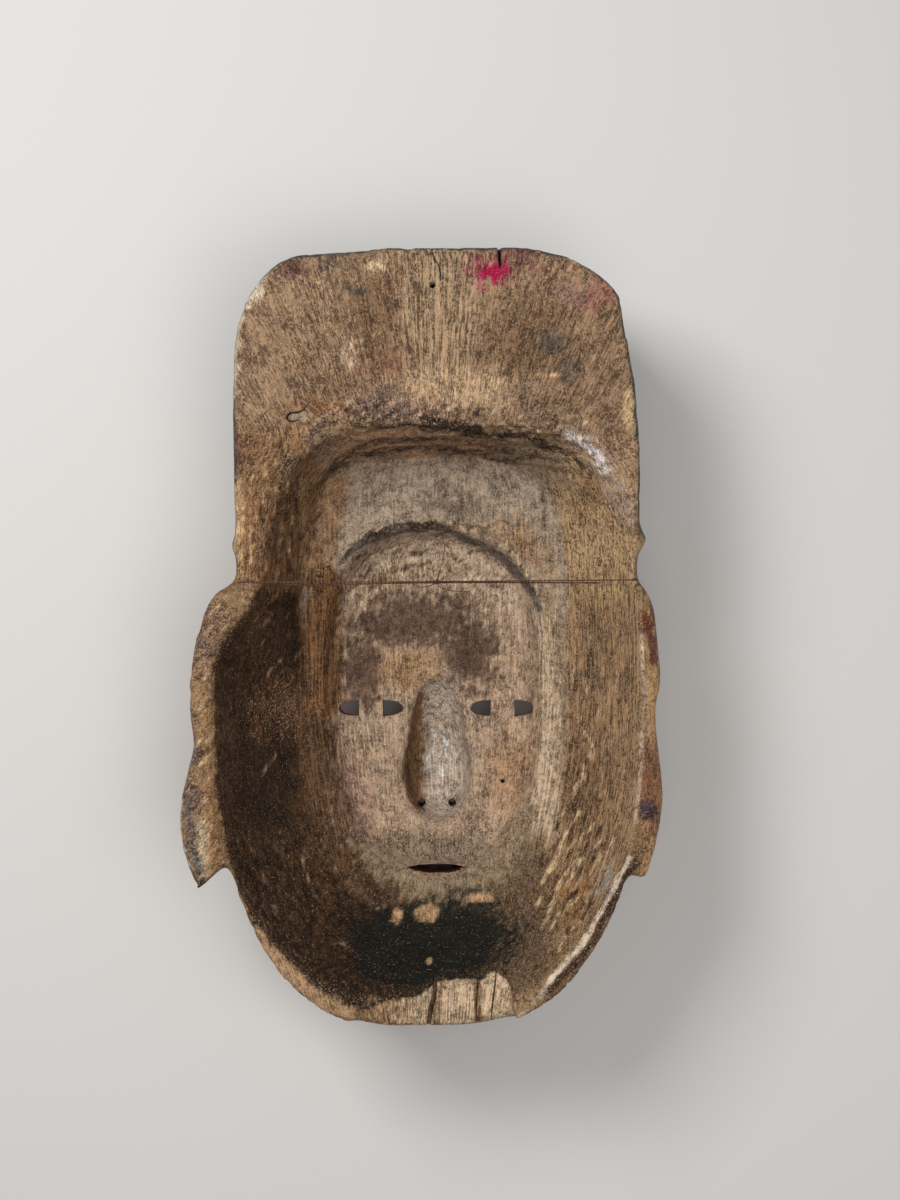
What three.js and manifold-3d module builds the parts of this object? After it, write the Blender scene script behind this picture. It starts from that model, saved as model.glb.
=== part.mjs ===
import * as THREE from 'three';
import { mergeVertices } from 'three/addons/utils/BufferGeometryUtils.js';
import Module from 'manifold-3d';

// A nuo mask carved from one block of wood, with its hat, ears and side knobs, and the thin
// cord tied across its hollow. It lies on its face with the hollow up. Millimetres, +Z up,
// +Y towards the top of the hat. The sizes below are taken from the mid-line of the hollow;
// the finished group is moved so that the middle of the mask's underside is at the origin.
const MASK_DEPTH = 104;
const HAT_TOP = 180;
const CHIN_EDGE = -179;
const BACK = MASK_DEPTH;

// Hat block, seen from the back.
const HAT = {
  side: 93,
  foot: 28,
  shoulder: 140,
  leftCorner: 38,
  rightShoulder: [84, 157],
  edgeDepth: 36,
  crownDepth: 88,
  crownFoot: 60,
};
const BRIM = { low: 57, high: 90, depth: 92, roll: 3 };
const PLAQUE = { foot: 98, tip: 166, half: 27, height: 5 };

// Head block below the hat: rough size only, as a superellipse that leans to one side.
const HEAD = { half: 99, widest: -35, reach: 147, square: 2.4, lean: -3.5, hatHalf: 92 };

// The face: thirds from hairline to chin, eyes at half the head's height, five eyes across.
const HAIRLINE = 53;
const FACE_HEIGHT = 210;
const CHIN = HAIRLINE - FACE_HEIGHT;
const BROW = HAIRLINE - FACE_HEIGHT / 3;
const NOSE_BASE = HAIRLINE - FACE_HEIGHT * 2 / 3;
const MOUTH = NOSE_BASE - FACE_HEIGHT / 9;
const EYE_LINE = CHIN + FACE_HEIGHT * 7 / 12;
const EYE_WIDTH = 32;
const EYE_HEIGHT = 15;
const MOUTH_WIDTH = EYE_WIDTH * 1.5;
const MOUTH_GAP = 6;
const FACE_DEPTH = 82;
const FACE_SIDE = 27;

// The hollow, in three steps: the bowl, the oval for the face, and the pocket for the nose.
const BOWL = {
  middle: [0, -35],
  edge: { right: 94, left: 101, leftHigh: 82, top: 132, bottom: 131, squareTop: 4, squareBottom: 2.5 },
  floor: { right: 61, left: 63, leftHigh: 63, top: 119, bottom: 97, squareTop: 4.5, squareBottom: 2.4 },
  depth: 46,
  steep: 1.3,
};
const OVAL = {
  middle: [-1, -32],
  edge: { right: 55, left: 57, leftHigh: 57, top: 89, bottom: 86, squareTop: 2.9, squareBottom: 2.3 },
  wall: 14,
  curve: 0.8,
  depth: 62,
};
const POCKET = { top: BROW + 3, bottom: NOSE_BASE - 4, half: 15, topDepth: 68, bottomDepth: 90, taper: 0.42 };

// Places of the smaller features.
const STUD = { x: 42, y: 74, radius: 10.5, flat: 5, round: 5, root: 22 };
const ROSETTE = { y: 74, radius: 15, stand: 6, root: 20 };
const KNOBS = [
  { x: -91.2, y: 43.2, radius: 4.5 },
  { x: 93, y: 46, radius: 4.8 },
];
const KNOB_DEPTH = 9;
const LASHING = { left: [-73.5, 25], right: [73, 26], radius: 2.6, mouth: 16, fall: 0.6, length: 36, lead: 7 };
const EAR = { thick: 29, middleY: -46, halfWidth: 30, halfLength: 88, leftX: -97, rightX: 88 };
const EAR_SHELL = { across: 6.5, along: 34, deep: 9, y: -32, leftX: -106, rightX: 97 };
const BREAK = { left: -36, right: 35, inner: -158, depth: 9, fall: 2, lean: 0.06 };
const CORD = { radius: 0.7, depth: 2.5, sides: 8, steps: 24, inside: 4, dip: 8, reach: 20 };

const wasm = await Module();
wasm.setup();

function bell(distance, width) {
  return Math.exp(-((distance / width) ** 2));
}

function dome(part, square, round) {
  const left = 1 - Math.min(1, Math.abs(part)) ** square;
  return left ** (1 / round);
}

function smooth(from, to, value) {
  const part = THREE.MathUtils.clamp((value - from) / (to - from), 0, 1);
  return part * part * (3 - 2 * part);
}

function mix(a, b, part) {
  return a + (b - a) * part;
}

function solidOf(geometry) {
  const bare = geometry.clone();
  bare.deleteAttribute('normal');
  bare.deleteAttribute('uv');
  const merged = mergeVertices(bare, 1e-3);
  const mesh = new wasm.Mesh({
    numProp: 3,
    vertProperties: Float32Array.from(merged.attributes.position.array),
    triVerts: Uint32Array.from(merged.index.array),
  });
  return new wasm.Manifold(mesh);
}

function geometryOf(solid) {
  const mesh = solid.getMesh();
  const geometry = new THREE.BufferGeometry();
  geometry.setAttribute('position', new THREE.BufferAttribute(mesh.vertProperties, 3));
  geometry.setIndex(new THREE.BufferAttribute(mesh.triVerts, 1));
  geometry.computeVertexNormals();
  return geometry;
}

function moveVertices(geometry, place) {
  const position = geometry.attributes.position;
  const point = new THREE.Vector3();
  for (let i = 0; i < position.count; i += 1) {
    point.fromBufferAttribute(position, i);
    place(point);
    position.setXYZ(i, point.x, point.y, point.z);
  }
  return geometry;
}

// Half the head's width at a height, and how far its middle leans there.
function headHalf(y) {
  if (y >= HEAD.widest) {
    const rise = (y - HEAD.widest) / (HAT.foot - HEAD.widest);
    return mix(HEAD.half, HEAD.hatHalf, Math.min(1, rise) ** 2);
  }
  return HEAD.half * dome((HEAD.widest - y) / HEAD.reach, HEAD.square, HEAD.square);
}

function headLean(y) {
  return HEAD.lean * (1 - smooth(HEAD.widest, HAT.foot, y));
}

// Outline of hat and head in one closed shape.
function headShape() {
  const shape = new THREE.Shape();
  const [shoulderX, shoulderY] = HAT.rightShoulder;
  shape.moveTo(HAT.side - 0.5, HAT.foot);
  shape.bezierCurveTo(HAT.side + 1, 60, HAT.side + 1.5, 95, HAT.side - 2, 118);
  shape.quadraticCurveTo(HAT.side - 7, 143, shoulderX, shoulderY);
  shape.quadraticCurveTo(shoulderX - 4, 166, shoulderX - 22, 175);
  shape.quadraticCurveTo(48, HAT_TOP, 32, HAT_TOP + 0.5);
  shape.lineTo(-22, HAT_TOP - 0.8);
  shape.lineTo(-HAT.side + HAT.leftCorner - 6, HAT_TOP - 3.4);
  shape.bezierCurveTo(-76, 175, -88, 163, -HAT.side + 0.6, HAT.shoulder);
  shape.bezierCurveTo(-HAT.side - 1.5, 110, -HAT.side - 0.5, 70, -HAT.side + 1.5, HAT.foot);
  const steps = 40;
  for (let i = 0; i <= steps; i += 1) {
    const turn = Math.PI * (i / steps);
    const x = -Math.cos(turn);
    const reach = Math.sin(turn) ** 0.9;
    const y = mix(HAT.foot - 2, HEAD.widest - HEAD.reach, reach);
    const half = headHalf(y) * Math.sign(x);
    if (y > CHIN_EDGE) {
      shape.lineTo(half + headLean(y), y);
    } else if (Math.abs(x) > 0.02) {
      shape.lineTo((headHalf(CHIN_EDGE) + 1) * Math.sign(x) + HEAD.lean, CHIN_EDGE);
    }
  }
  return shape;
}

// The front of the face, as depth below the flat back.
function faceDepth(x, y) {
  const off = Math.abs(x);
  const closing = dome(Math.max(0, CHIN + 37 - y) / 66, 2.6, 1.7);
  const middle = FACE_SIDE + (FACE_DEPTH - FACE_SIDE) * closing;
  const across = (x - headLean(y)) / (headHalf(y) + 2);
  let depth = FACE_SIDE + (middle - FACE_SIDE) * dome(across, 2.5, 2);

  const browY = BROW + 5 - 0.006 * (off - EYE_WIDTH * 0.8) ** 2;
  depth += 5 * bell(y - browY, 6) * smooth(2, 12, off) * (1 - smooth(52, 70, off));
  depth -= 8 * bell(off - EYE_WIDTH, 19) * bell(y - EYE_LINE, 12);
  const eye = 1 - ((off - EYE_WIDTH) / (EYE_WIDTH / 2)) ** 2 - ((y - EYE_LINE) / (EYE_HEIGHT / 2 + 1)) ** 2;
  depth += 7 * Math.sqrt(Math.max(0, eye));

  const along = THREE.MathUtils.clamp((BROW - y) / (BROW - NOSE_BASE - 8), 0, 1);
  const noseHeight = mix(3, 26, along ** 1.3) * smooth(NOSE_BASE - 3, NOSE_BASE + 4, y);
  const noseWidth = mix(8, 12.5, along);
  depth += noseHeight * bell(off, noseWidth) * smooth(BROW + 16, BROW - 6, y);
  depth += 9 * bell(off - 11, 5.5) * bell(y - NOSE_BASE - 5, 6);

  const lips = Math.max(0, 1 - (off / (MOUTH_WIDTH / 2)) ** 2);
  depth += 6 * lips * bell(y - MOUTH - 5, 4.5);
  depth += 7 * lips * bell(y - MOUTH + 6, 5);
  depth -= 3 * bell(off, 20) * bell(y - MOUTH + 18, 7);
  depth += 6 * bell(off, 20) * bell(y - CHIN - 14, 13);
  depth += 4 * bell(off - 48, 20) * bell(y - NOSE_BASE - 12, 22);
  return depth;
}

// The front of the hat: domed crown, rolled brim and a pointed plaque over the brim.
function hatDepth(x, y) {
  const across = x / (HAT.side + 4);
  const up = (y - HAT.crownFoot) / (HAT_TOP + 8 - HAT.crownFoot);
  const crown = dome(across, 2.8, 2) * dome(Math.max(0, up), 2.2, 1.7);
  let depth = HAT.edgeDepth + (HAT.crownDepth - HAT.edgeDepth) * crown;
  const panel = PLAQUE.half * dome(Math.max(0, (y - PLAQUE.foot) / (PLAQUE.tip - PLAQUE.foot)), 1.7, 1.2);
  const inside = smooth(0, 5, panel - Math.abs(x)) * smooth(PLAQUE.foot - 3, PLAQUE.foot + 2, y);
  depth += PLAQUE.height * inside;
  if (y < BRIM.high) {
    const band = HAT.edgeDepth + (BRIM.depth - HAT.edgeDepth) * dome(across, 3, 2.2);
    const roll = BRIM.roll * Math.sin(Math.PI * THREE.MathUtils.clamp((y - BRIM.low) / (BRIM.high - BRIM.low), 0, 1));
    depth = Math.max(depth, band + roll);
  }
  return depth;
}

function frontDepth(x, y) {
  const depth = y > BRIM.low ? hatDepth(x, y) : faceDepth(x, y);
  return Math.min(depth, MASK_DEPTH);
}

// Grid lines over the front, closer together where the carving is fine.
function gridLines(spans) {
  const lines = [spans[0].from];
  for (const { from, to, count } of spans) {
    for (let i = 1; i <= count; i += 1) {
      lines.push(mix(from, to, i / count));
    }
  }
  return lines;
}

// Columns are parts of the half width, so that they run along the sides of head and hat.
const COLUMNS = gridLines([
  { from: -1, to: -0.92, count: 1 },
  { from: -0.92, to: -0.52, count: 5 },
  { from: -0.52, to: 0.52, count: 22 },
  { from: 0.52, to: 0.92, count: 5 },
  { from: 0.92, to: 1, count: 1 },
]);
const ROWS = gridLines([
  { from: CHIN_EDGE - 3, to: CHIN_EDGE + 5, count: 1 },
  { from: CHIN_EDGE + 5, to: MOUTH - 18, count: 6 },
  { from: MOUTH - 18, to: BROW + 12, count: 26 },
  { from: BROW + 12, to: BRIM.low - 1, count: 7 },
  { from: BRIM.low - 1, to: BRIM.low + 1, count: 1 },
  { from: BRIM.low + 1, to: BRIM.high, count: 5 },
  { from: BRIM.high, to: BRIM.high + 2, count: 1 },
  { from: BRIM.high + 2, to: HAT_TOP + 4, count: 9 },
]);

function gridX(part, y) {
  const blockHalf = y > HAT.foot ? HAT.side + 4 : headHalf(y) + 4;
  return headLean(y) + part * blockHalf;
}

// A block whose lower side is the carved front.
function frontBlock() {
  const columns = COLUMNS.length - 1;
  const rows = ROWS.length - 1;
  const block = new THREE.BoxGeometry(columns, rows, 2, columns, rows, 1);
  moveVertices(block, (point) => {
    const y = ROWS[Math.round(point.y + rows / 2)];
    const x = gridX(COLUMNS[Math.round(point.x + columns / 2)], y);
    point.set(x, y, point.z > 0 ? BACK : BACK - frontDepth(x, y));
  });
  return solidOf(block);
}

// Radius of a rounded opening in a direction, from its reach to each side.
function reachOf(edge, turn) {
  const cos = Math.cos(turn);
  const sin = Math.sin(turn);
  const left = mix(edge.left, edge.leftHigh, smooth(0.2, 0.62, sin));
  const side = cos > 0 ? edge.right : left;
  const end = sin > 0 ? edge.top : edge.bottom;
  const square = sin > 0 ? edge.squareTop : edge.squareBottom;
  return (Math.abs(cos / side) ** square + Math.abs(sin / end) ** square) ** (-1 / square);
}

// A cutter shaped as a bowl: place() gives radius and depth for a direction and a level
// from 0 at its mouth to 1 at its floor.
function bowlCutter(middle, around, levels, place) {
  const bowl = new THREE.CylinderGeometry(1, 1, 1, around, levels);
  bowl.rotateX(Math.PI / 2);
  moveVertices(bowl, (point) => {
    const turn = Math.atan2(point.y, point.x);
    const onWall = Math.hypot(point.x, point.y) > 0.5;
    const { radius, depth } = place(turn, 0.5 - point.z);
    const spread = onWall ? radius : 0;
    point.set(middle[0] + spread * Math.cos(turn), middle[1] + spread * Math.sin(turn), BACK - depth);
  });
  return solidOf(bowl);
}

function outerBowl() {
  const levels = 7;
  return bowlCutter(BOWL.middle, 60, levels, (turn, level) => {
    const part = Math.max(0, (level * levels - 1) / (levels - 1));
    const radius = mix(reachOf(BOWL.edge, turn), reachOf(BOWL.floor, turn), part);
    const depth = level < 0.5 / levels ? -5 : BOWL.depth * (1 - (1 - part) ** BOWL.steep);
    return { radius, depth };
  });
}

function faceOval() {
  const levels = 4;
  return bowlCutter(OVAL.middle, 44, levels, (turn, level) => {
    const radius = reachOf(OVAL.edge, turn) - OVAL.wall * level ** OVAL.curve;
    const depth = mix(BOWL.depth - 8, OVAL.depth, Math.sin(level * Math.PI / 2));
    return { radius, depth };
  });
}

function nosePocket() {
  const middleY = (POCKET.top + POCKET.bottom) / 2;
  const halfLength = (POCKET.top - POCKET.bottom) / 2;
  return bowlCutter([0, middleY], 24, 4, (turn, level) => {
    const swell = 1 - 0.3 * Math.sin(turn);
    const reach = (Math.abs(Math.cos(turn) / (POCKET.half * swell)) ** 2 + Math.abs(Math.sin(turn) / halfLength) ** 2) ** -0.5;
    const radius = reach * (1 - POCKET.taper * level ** 2);
    const low = THREE.MathUtils.clamp(0.5 - radius * Math.sin(turn) / (2 * halfLength), 0, 1);
    const floor = mix(POCKET.topDepth, POCKET.bottomDepth, low);
    return { radius, depth: mix(OVAL.depth - 8, floor, Math.sin(level * Math.PI / 2)) };
  });
}

// A straight hole of any outline from the hollow out through the front.
function throughCut(shape) {
  const cut = new THREE.ExtrudeGeometry(shape, { depth: MASK_DEPTH, bevelEnabled: false, curveSegments: 8 });
  cut.translate(0, 0, BACK - MASK_DEPTH - 40);
  return solidOf(cut);
}

// One of the two openings of an eye, a half almond beside the iris.
function eyeOpening(side, outward) {
  const iris = EYE_WIDTH * 0.18;
  const corner = EYE_WIDTH / 2 - 1;
  const half = EYE_HEIGHT * 0.25;
  const shape = new THREE.Shape();
  const x = (part) => side * EYE_WIDTH + outward * part;
  shape.moveTo(x(iris), EYE_LINE - half);
  shape.quadraticCurveTo(x(corner - 3), EYE_LINE - half, x(corner), EYE_LINE);
  shape.quadraticCurveTo(x(corner - 3), EYE_LINE + half, x(iris), EYE_LINE + half);
  shape.closePath();
  return throughCut(shape);
}

function mouthSlot() {
  const half = MOUTH_WIDTH * 0.32;
  const shape = new THREE.Shape();
  shape.moveTo(-half, MOUTH);
  shape.quadraticCurveTo(0, MOUTH - MOUTH_GAP, half, MOUTH);
  shape.quadraticCurveTo(0, MOUTH + MOUTH_GAP / 3, -half, MOUTH);
  return throughCut(shape);
}

function nostril(side) {
  const shape = new THREE.Shape();
  shape.absarc(side * 7.5, NOSE_BASE + 5, 2.4, 0, Math.PI * 2);
  return throughCut(shape);
}

// Where a lashing hole opens in the bowl's wall, and the way it slants outwards.
function lashingMouth([x, y]) {
  return new THREE.Vector3(x, y, BACK - LASHING.mouth);
}

function lashingWay([x]) {
  return new THREE.Vector3(Math.sign(x), 0, -LASHING.fall).normalize();
}

function lashingHole(place) {
  const way = lashingWay(place);
  const hole = new THREE.CylinderGeometry(LASHING.radius, LASHING.radius, LASHING.length, 12);
  hole.applyQuaternion(new THREE.Quaternion().setFromUnitVectors(new THREE.Vector3(0, 1, 0), way));
  const middle = lashingMouth(place).addScaledVector(way, LASHING.length / 2 - LASHING.lead);
  hole.translate(middle.x, middle.y, middle.z);
  return solidOf(hole);
}

// The chin's rim has split off along the grain and left a flat raw step.
function chinBreak() {
  const width = BREAK.right - BREAK.left;
  const length = BREAK.inner - CHIN_EDGE + 8;
  const piece = new THREE.BoxGeometry(width, length, BREAK.depth + 6);
  piece.rotateX(Math.atan2(BREAK.fall, length));
  piece.rotateY(BREAK.lean);
  piece.translate((BREAK.left + BREAK.right) / 2, BREAK.inner - length / 2, BACK + 3 - BREAK.depth / 2);
  return solidOf(piece);
}

function leftEarShape() {
  const shape = new THREE.Shape();
  shape.moveTo(-84, 24);
  shape.lineTo(-98, 23.6);
  shape.bezierCurveTo(-105, 22, -108, 8, -111, -3);
  shape.bezierCurveTo(-113.5, -15, -114.5, -32, -111.5, -49);
  shape.bezierCurveTo(-114, -60, -118.5, -72, -118, -86);
  shape.quadraticCurveTo(-116, -104, -108.8, -116);
  shape.lineTo(-98, -104);
  shape.lineTo(-84, -70);
  return shape;
}

function rightEarShape() {
  const shape = new THREE.Shape();
  shape.moveTo(82, 24);
  shape.lineTo(93.5, 25);
  shape.bezierCurveTo(101, 21, 101.5, 8, 103, -8);
  shape.bezierCurveTo(104.5, -16, 104, -24, 101, -30);
  shape.bezierCurveTo(101.5, -50, 105.5, -64, 105, -75);
  shape.quadraticCurveTo(102, -98, 94.6, -112.5);
  shape.lineTo(86, -100);
  shape.lineTo(78, -70);
  return shape;
}

// An ear: a thick leaf rounded towards the front, with a hollowed shell.
function ear(shape, middleX, shellX) {
  const { thick, middleY, halfWidth, halfLength } = EAR;
  const leaf = new THREE.ExtrudeGeometry(shape, { depth: thick, bevelEnabled: false, curveSegments: 6 });
  leaf.translate(0, 0, BACK - thick);
  const round = new THREE.SphereGeometry(1, 18, 10);
  round.scale(halfWidth, halfLength, thick);
  round.translate(middleX, middleY, BACK);
  const shell = new THREE.SphereGeometry(1, 12, 8);
  shell.scale(EAR_SHELL.across, EAR_SHELL.along, EAR_SHELL.deep);
  shell.translate(shellX, EAR_SHELL.y, BACK - thick);
  return solidOf(leaf).intersect(solidOf(round)).subtract(solidOf(shell));
}

// The right ear's back falls away from the rim.
function rightEarSlope() {
  const { thick, middleY, halfLength } = EAR;
  const slope = new THREE.BoxGeometry(thick, halfLength * 2.2, thick);
  slope.translate(thick / 2, 0, thick / 2);
  slope.rotateY(Math.PI / 4);
  slope.translate(HEAD.half + HEAD.lean, middleY, BACK - 0.5);
  return solidOf(slope);
}

function knob({ x, y, radius }) {
  const ball = new THREE.SphereGeometry(radius, 10, 6);
  ball.translate(x, y, BACK - KNOB_DEPTH);
  return solidOf(ball);
}

// A round stud on the brim, with the flat that the mask rests on.
function stud(side) {
  const { radius, flat, round, root } = STUD;
  const sink = MASK_DEPTH - BRIM.depth + root;
  const profile = [new THREE.Vector2(0, -sink), new THREE.Vector2(radius, -sink)];
  const steps = 4;
  for (let i = 0; i <= steps; i += 1) {
    const turn = (Math.PI / 2) * (i / steps);
    profile.push(new THREE.Vector2(mix(flat, radius, Math.cos(turn)), round * (Math.sin(turn) - 1)));
  }
  profile.push(new THREE.Vector2(0, 0));
  const boss = new THREE.LatheGeometry(profile, 16);
  boss.rotateX(-Math.PI / 2);
  boss.translate(side * STUD.x, STUD.y, 0);
  return solidOf(boss);
}

// The round flower in the middle of the brim.
function rosette() {
  const { y, radius, stand, root } = ROSETTE;
  const low = BACK - BRIM.depth - BRIM.roll;
  const profile = [
    new THREE.Vector2(0, -root),
    new THREE.Vector2(radius, -root),
    new THREE.Vector2(radius, stand * 0.3),
    new THREE.Vector2(radius * 0.87, stand * 0.6),
    new THREE.Vector2(radius * 0.5, stand * 0.45),
    new THREE.Vector2(radius * 0.4, stand * 0.8),
    new THREE.Vector2(radius * 0.2, stand),
    new THREE.Vector2(0, stand),
  ];
  const flower = new THREE.LatheGeometry(profile, 20);
  flower.rotateX(-Math.PI / 2);
  flower.translate(0, y, low);
  return solidOf(flower);
}

function maskGeometry() {
  const outline = new THREE.ExtrudeGeometry(headShape(), {
    depth: MASK_DEPTH + 10, bevelEnabled: false, curveSegments: 8,
  });
  outline.translate(0, 0, -5);
  let mask = frontBlock().intersect(solidOf(outline));
  mask = mask.add(ear(leftEarShape(), EAR.leftX, EAR_SHELL.leftX));
  mask = mask.add(ear(rightEarShape(), EAR.rightX, EAR_SHELL.rightX).subtract(rightEarSlope()));
  mask = KNOBS.reduce((body, place) => body.add(knob(place)), mask);
  mask = mask.add(stud(-1)).add(stud(1)).add(rosette());
  mask = mask.subtract(outerBowl()).subtract(faceOval()).subtract(nosePocket());
  for (const side of [-1, 1]) {
    mask = mask.subtract(eyeOpening(side, -1)).subtract(eyeOpening(side, 1)).subtract(nostril(side));
  }
  mask = mask.subtract(mouthSlot()).subtract(chinBreak());
  mask = mask.subtract(lashingHole(LASHING.left)).subtract(lashingHole(LASHING.right));
  return geometryOf(mask);
}

// The cord runs level across the hollow and dips into a lashing hole at each end.
function cordRoute() {
  const level = BACK - CORD.depth;
  const { inside, dip, reach } = CORD;
  const half = [LASHING.left, LASHING.right].map((place) => {
    const mouth = lashingMouth(place);
    const side = Math.sign(mouth.x);
    return [
      mouth.clone().addScaledVector(lashingWay(place), inside),
      mouth,
      new THREE.Vector3(mouth.x - side * dip, mouth.y, level - dip / 3),
      new THREE.Vector3(mouth.x - side * reach, mouth.y, level),
    ];
  });
  return [...half[0], new THREE.Vector3(0, LASHING.right[1], level), ...half[1].reverse()];
}

function cordGeometry() {
  const section = new THREE.Shape();
  section.absarc(0, 0, CORD.radius, 0, Math.PI * 2);
  return new THREE.ExtrudeGeometry(section, {
    steps: CORD.steps,
    extrudePath: new THREE.CatmullRomCurve3(cordRoute(), false, 'centripetal'),
    curveSegments: CORD.sides / 2,
    bevelEnabled: false,
  });
}

function paintedWood() {
  return new THREE.MeshStandardMaterial({ color: 0x8a6a4a, roughness: 0.75, metalness: 0 });
}

function twine() {
  return new THREE.MeshStandardMaterial({ color: 0x4a2c1c, roughness: 0.85, metalness: 0 });
}

function piece(name, geometry, material) {
  const mesh = new THREE.Mesh(geometry, material);
  mesh.name = name;
  return mesh;
}

const mask = piece('mask', maskGeometry(), paintedWood());
const tieCord = piece('tie_cord', cordGeometry(), twine());

const middle = new THREE.Box3().setFromObject(mask).getCenter(new THREE.Vector3());
const nuoMask = new THREE.Group();
nuoMask.add(mask, tieCord);
nuoMask.position.set(-middle.x, -middle.y, 0);
nuoMask.updateMatrixWorld(true);

export default nuoMask;
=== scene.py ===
import math

import bmesh
import bpy
import numpy as np
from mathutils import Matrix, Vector, noise


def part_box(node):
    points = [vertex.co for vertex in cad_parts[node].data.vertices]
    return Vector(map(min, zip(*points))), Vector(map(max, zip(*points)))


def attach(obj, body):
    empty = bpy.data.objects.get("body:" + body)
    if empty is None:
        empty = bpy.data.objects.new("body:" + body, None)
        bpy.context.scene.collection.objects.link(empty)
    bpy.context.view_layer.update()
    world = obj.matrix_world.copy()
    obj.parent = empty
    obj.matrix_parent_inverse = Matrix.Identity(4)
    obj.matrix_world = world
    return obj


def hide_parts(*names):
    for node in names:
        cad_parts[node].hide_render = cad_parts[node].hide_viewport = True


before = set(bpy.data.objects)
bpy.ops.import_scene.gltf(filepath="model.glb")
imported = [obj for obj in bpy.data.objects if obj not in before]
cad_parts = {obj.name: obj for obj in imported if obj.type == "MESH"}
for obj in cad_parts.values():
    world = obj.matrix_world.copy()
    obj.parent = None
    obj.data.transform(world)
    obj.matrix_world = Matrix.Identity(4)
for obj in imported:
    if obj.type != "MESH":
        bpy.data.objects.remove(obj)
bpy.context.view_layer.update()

# A nuo mask lying on its face, seen from behind: the carved wood and the strings tied across
# its hollow. Places on the mask are millimetres from the mid-line of the hollow, x to the
# right, y towards the top of the hat, z up from the floor, and become metres in the meshes.
MM = 0.001
mask_low, mask_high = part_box("mask")
LEFT_OF_MIDLINE = 117.8
BELOW_MIDDLE = 0.75
BACK = (mask_high[2] - mask_low[2]) / MM
MIDLINE = np.array([
    mask_low[0] / MM + LEFT_OF_MIDLINE,
    (mask_low[1] + mask_high[1]) / 2 / MM - BELOW_MIDDLE,
    0.0,
])

# The hollow's steps, as rounded openings.
BOWL_MIDDLE = (0, -35)
BOWL_EDGE = {
    "right": 94, "left": 101, "left_high": 82, "top": 132, "bottom": 131,
    "square_top": 4, "square_bottom": 2.5,
}
BOWL_FLOOR = {
    "right": 61, "left": 63, "left_high": 63, "top": 119, "bottom": 97,
    "square_top": 4.5, "square_bottom": 2.4,
}
OVAL_MIDDLE = (-1, -32)
OVAL_EDGE = {
    "right": 55, "left": 57, "left_high": 57, "top": 89, "bottom": 86,
    "square_top": 2.9, "square_bottom": 2.3,
}
BOWL_DEPTH = 46
OVAL_DEPTH = 62

# The face's own proportions: thirds from hairline to chin, five eyes across.
HAIRLINE = 53
FACE_HEIGHT = 210
CHIN = HAIRLINE - FACE_HEIGHT
BROW = HAIRLINE - FACE_HEIGHT / 3
NOSE_BASE = HAIRLINE - FACE_HEIGHT * 2 / 3
MOUTH = NOSE_BASE - FACE_HEIGHT / 9
EYE_LINE = CHIN + FACE_HEIGHT * 7 / 12
EYE_WIDTH = 32
EYE_HEIGHT = 15
IRIS = EYE_WIDTH * 0.18
EYE_OPENING = {"width": EYE_WIDTH * 0.31, "rise": EYE_HEIGHT * 0.27}
MOUTH_WIDTH = EYE_WIDTH * 1.5
MOUTH_GAP = 6
NOSTRIL = {"x": 7.5, "up": 5, "radius": 2.4}

# The front of the hat: its brim with studs and a rosette, and the plaque above it.
BRIM_LOW = 57
BRIM_HIGH = 90
STUD = {"x": 42, "y": 74, "radius": 10.5}
ROSETTE = {"y": 74, "radius": 15}
PETALS = 8
BEAD = 8.5
PLAQUE_HALF = 27
PLAQUE_FOOT = 98
PLAQUE_TIP = 166

# The pale raw wood of the broken chin: its two sides, and the steps of its inner line.
BREAK_SIDES = (-36, 35)
BREAK_LINE = [
    (-36, -172), (-21, -166), (-7, -163.5), (1.8, -158), (14, -157.3), (20, -158),
    (25.6, -153.8), (29, -154.5), (33.3, -158), (36, -166),
]

# The frayed edge of the arch, the lip over the top wall and the line along that wall's foot.
ARCH_EDGE = [
    (-54, 30), (-49, 36), (-40, 43), (-34, 47), (-24, 50), (-15, 53), (-3, 54), (5.5, 52.5),
    (14.4, 48.5), (24.7, 43.5), (33, 38.5), (41, 29.5), (45, 25), (49, 16),
]
LIP_LINE = [
    (-62, 91), (-52, 97), (-42, 99.5), (-20, 98), (-7, 98), (11, 98), (24, 93), (38, 93),
    (57, 87), (70, 77),
]
TOP_WALL_FOOT = [
    (-60, 58), (-57.5, 67), (-49.5, 77), (-37, 84), (-15, 87), (2, 87), (20, 85), (36, 81),
    (45, 85),
]

# Cuts in the back. Each crack has its line, its width and how deep it goes.
NAIL_HOLE = {"x": -1.6, "y": 162, "radius": 1.4, "depth": 14}
WORM_HOLE = {"x": 32, "y": -70, "radius": 1.3, "low": 30, "high": 60}
CRACKS = [
    ([(29, 186), (28.9, 178), (29.3, 170.5)], 1.7, 12),
    ([(-3, 186), (-1.5, 176), (1.6, 170), (1.9, 164)], 0.4, 1.6),
    ([(-4.6, -190), (-3.0, -174), (-0.8, -164), (-0.2, -156)], 2.4, 17),
    ([(18, -186), (18.6, -170), (19.2, -158)], 0.8, 13),
    ([(25.2, -178), (26.6, -165), (28.2, -151)], 0.8, 17),
    ([
        (-62.5, 100.4), (-66, 99.6), (-68.2, 101.2), (-66.4, 103.4), (-61.5, 104.4),
        (-57.2, 108.8),
    ], 0.9, 2.5),
]
ABOVE_BACK = BACK + 2

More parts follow.
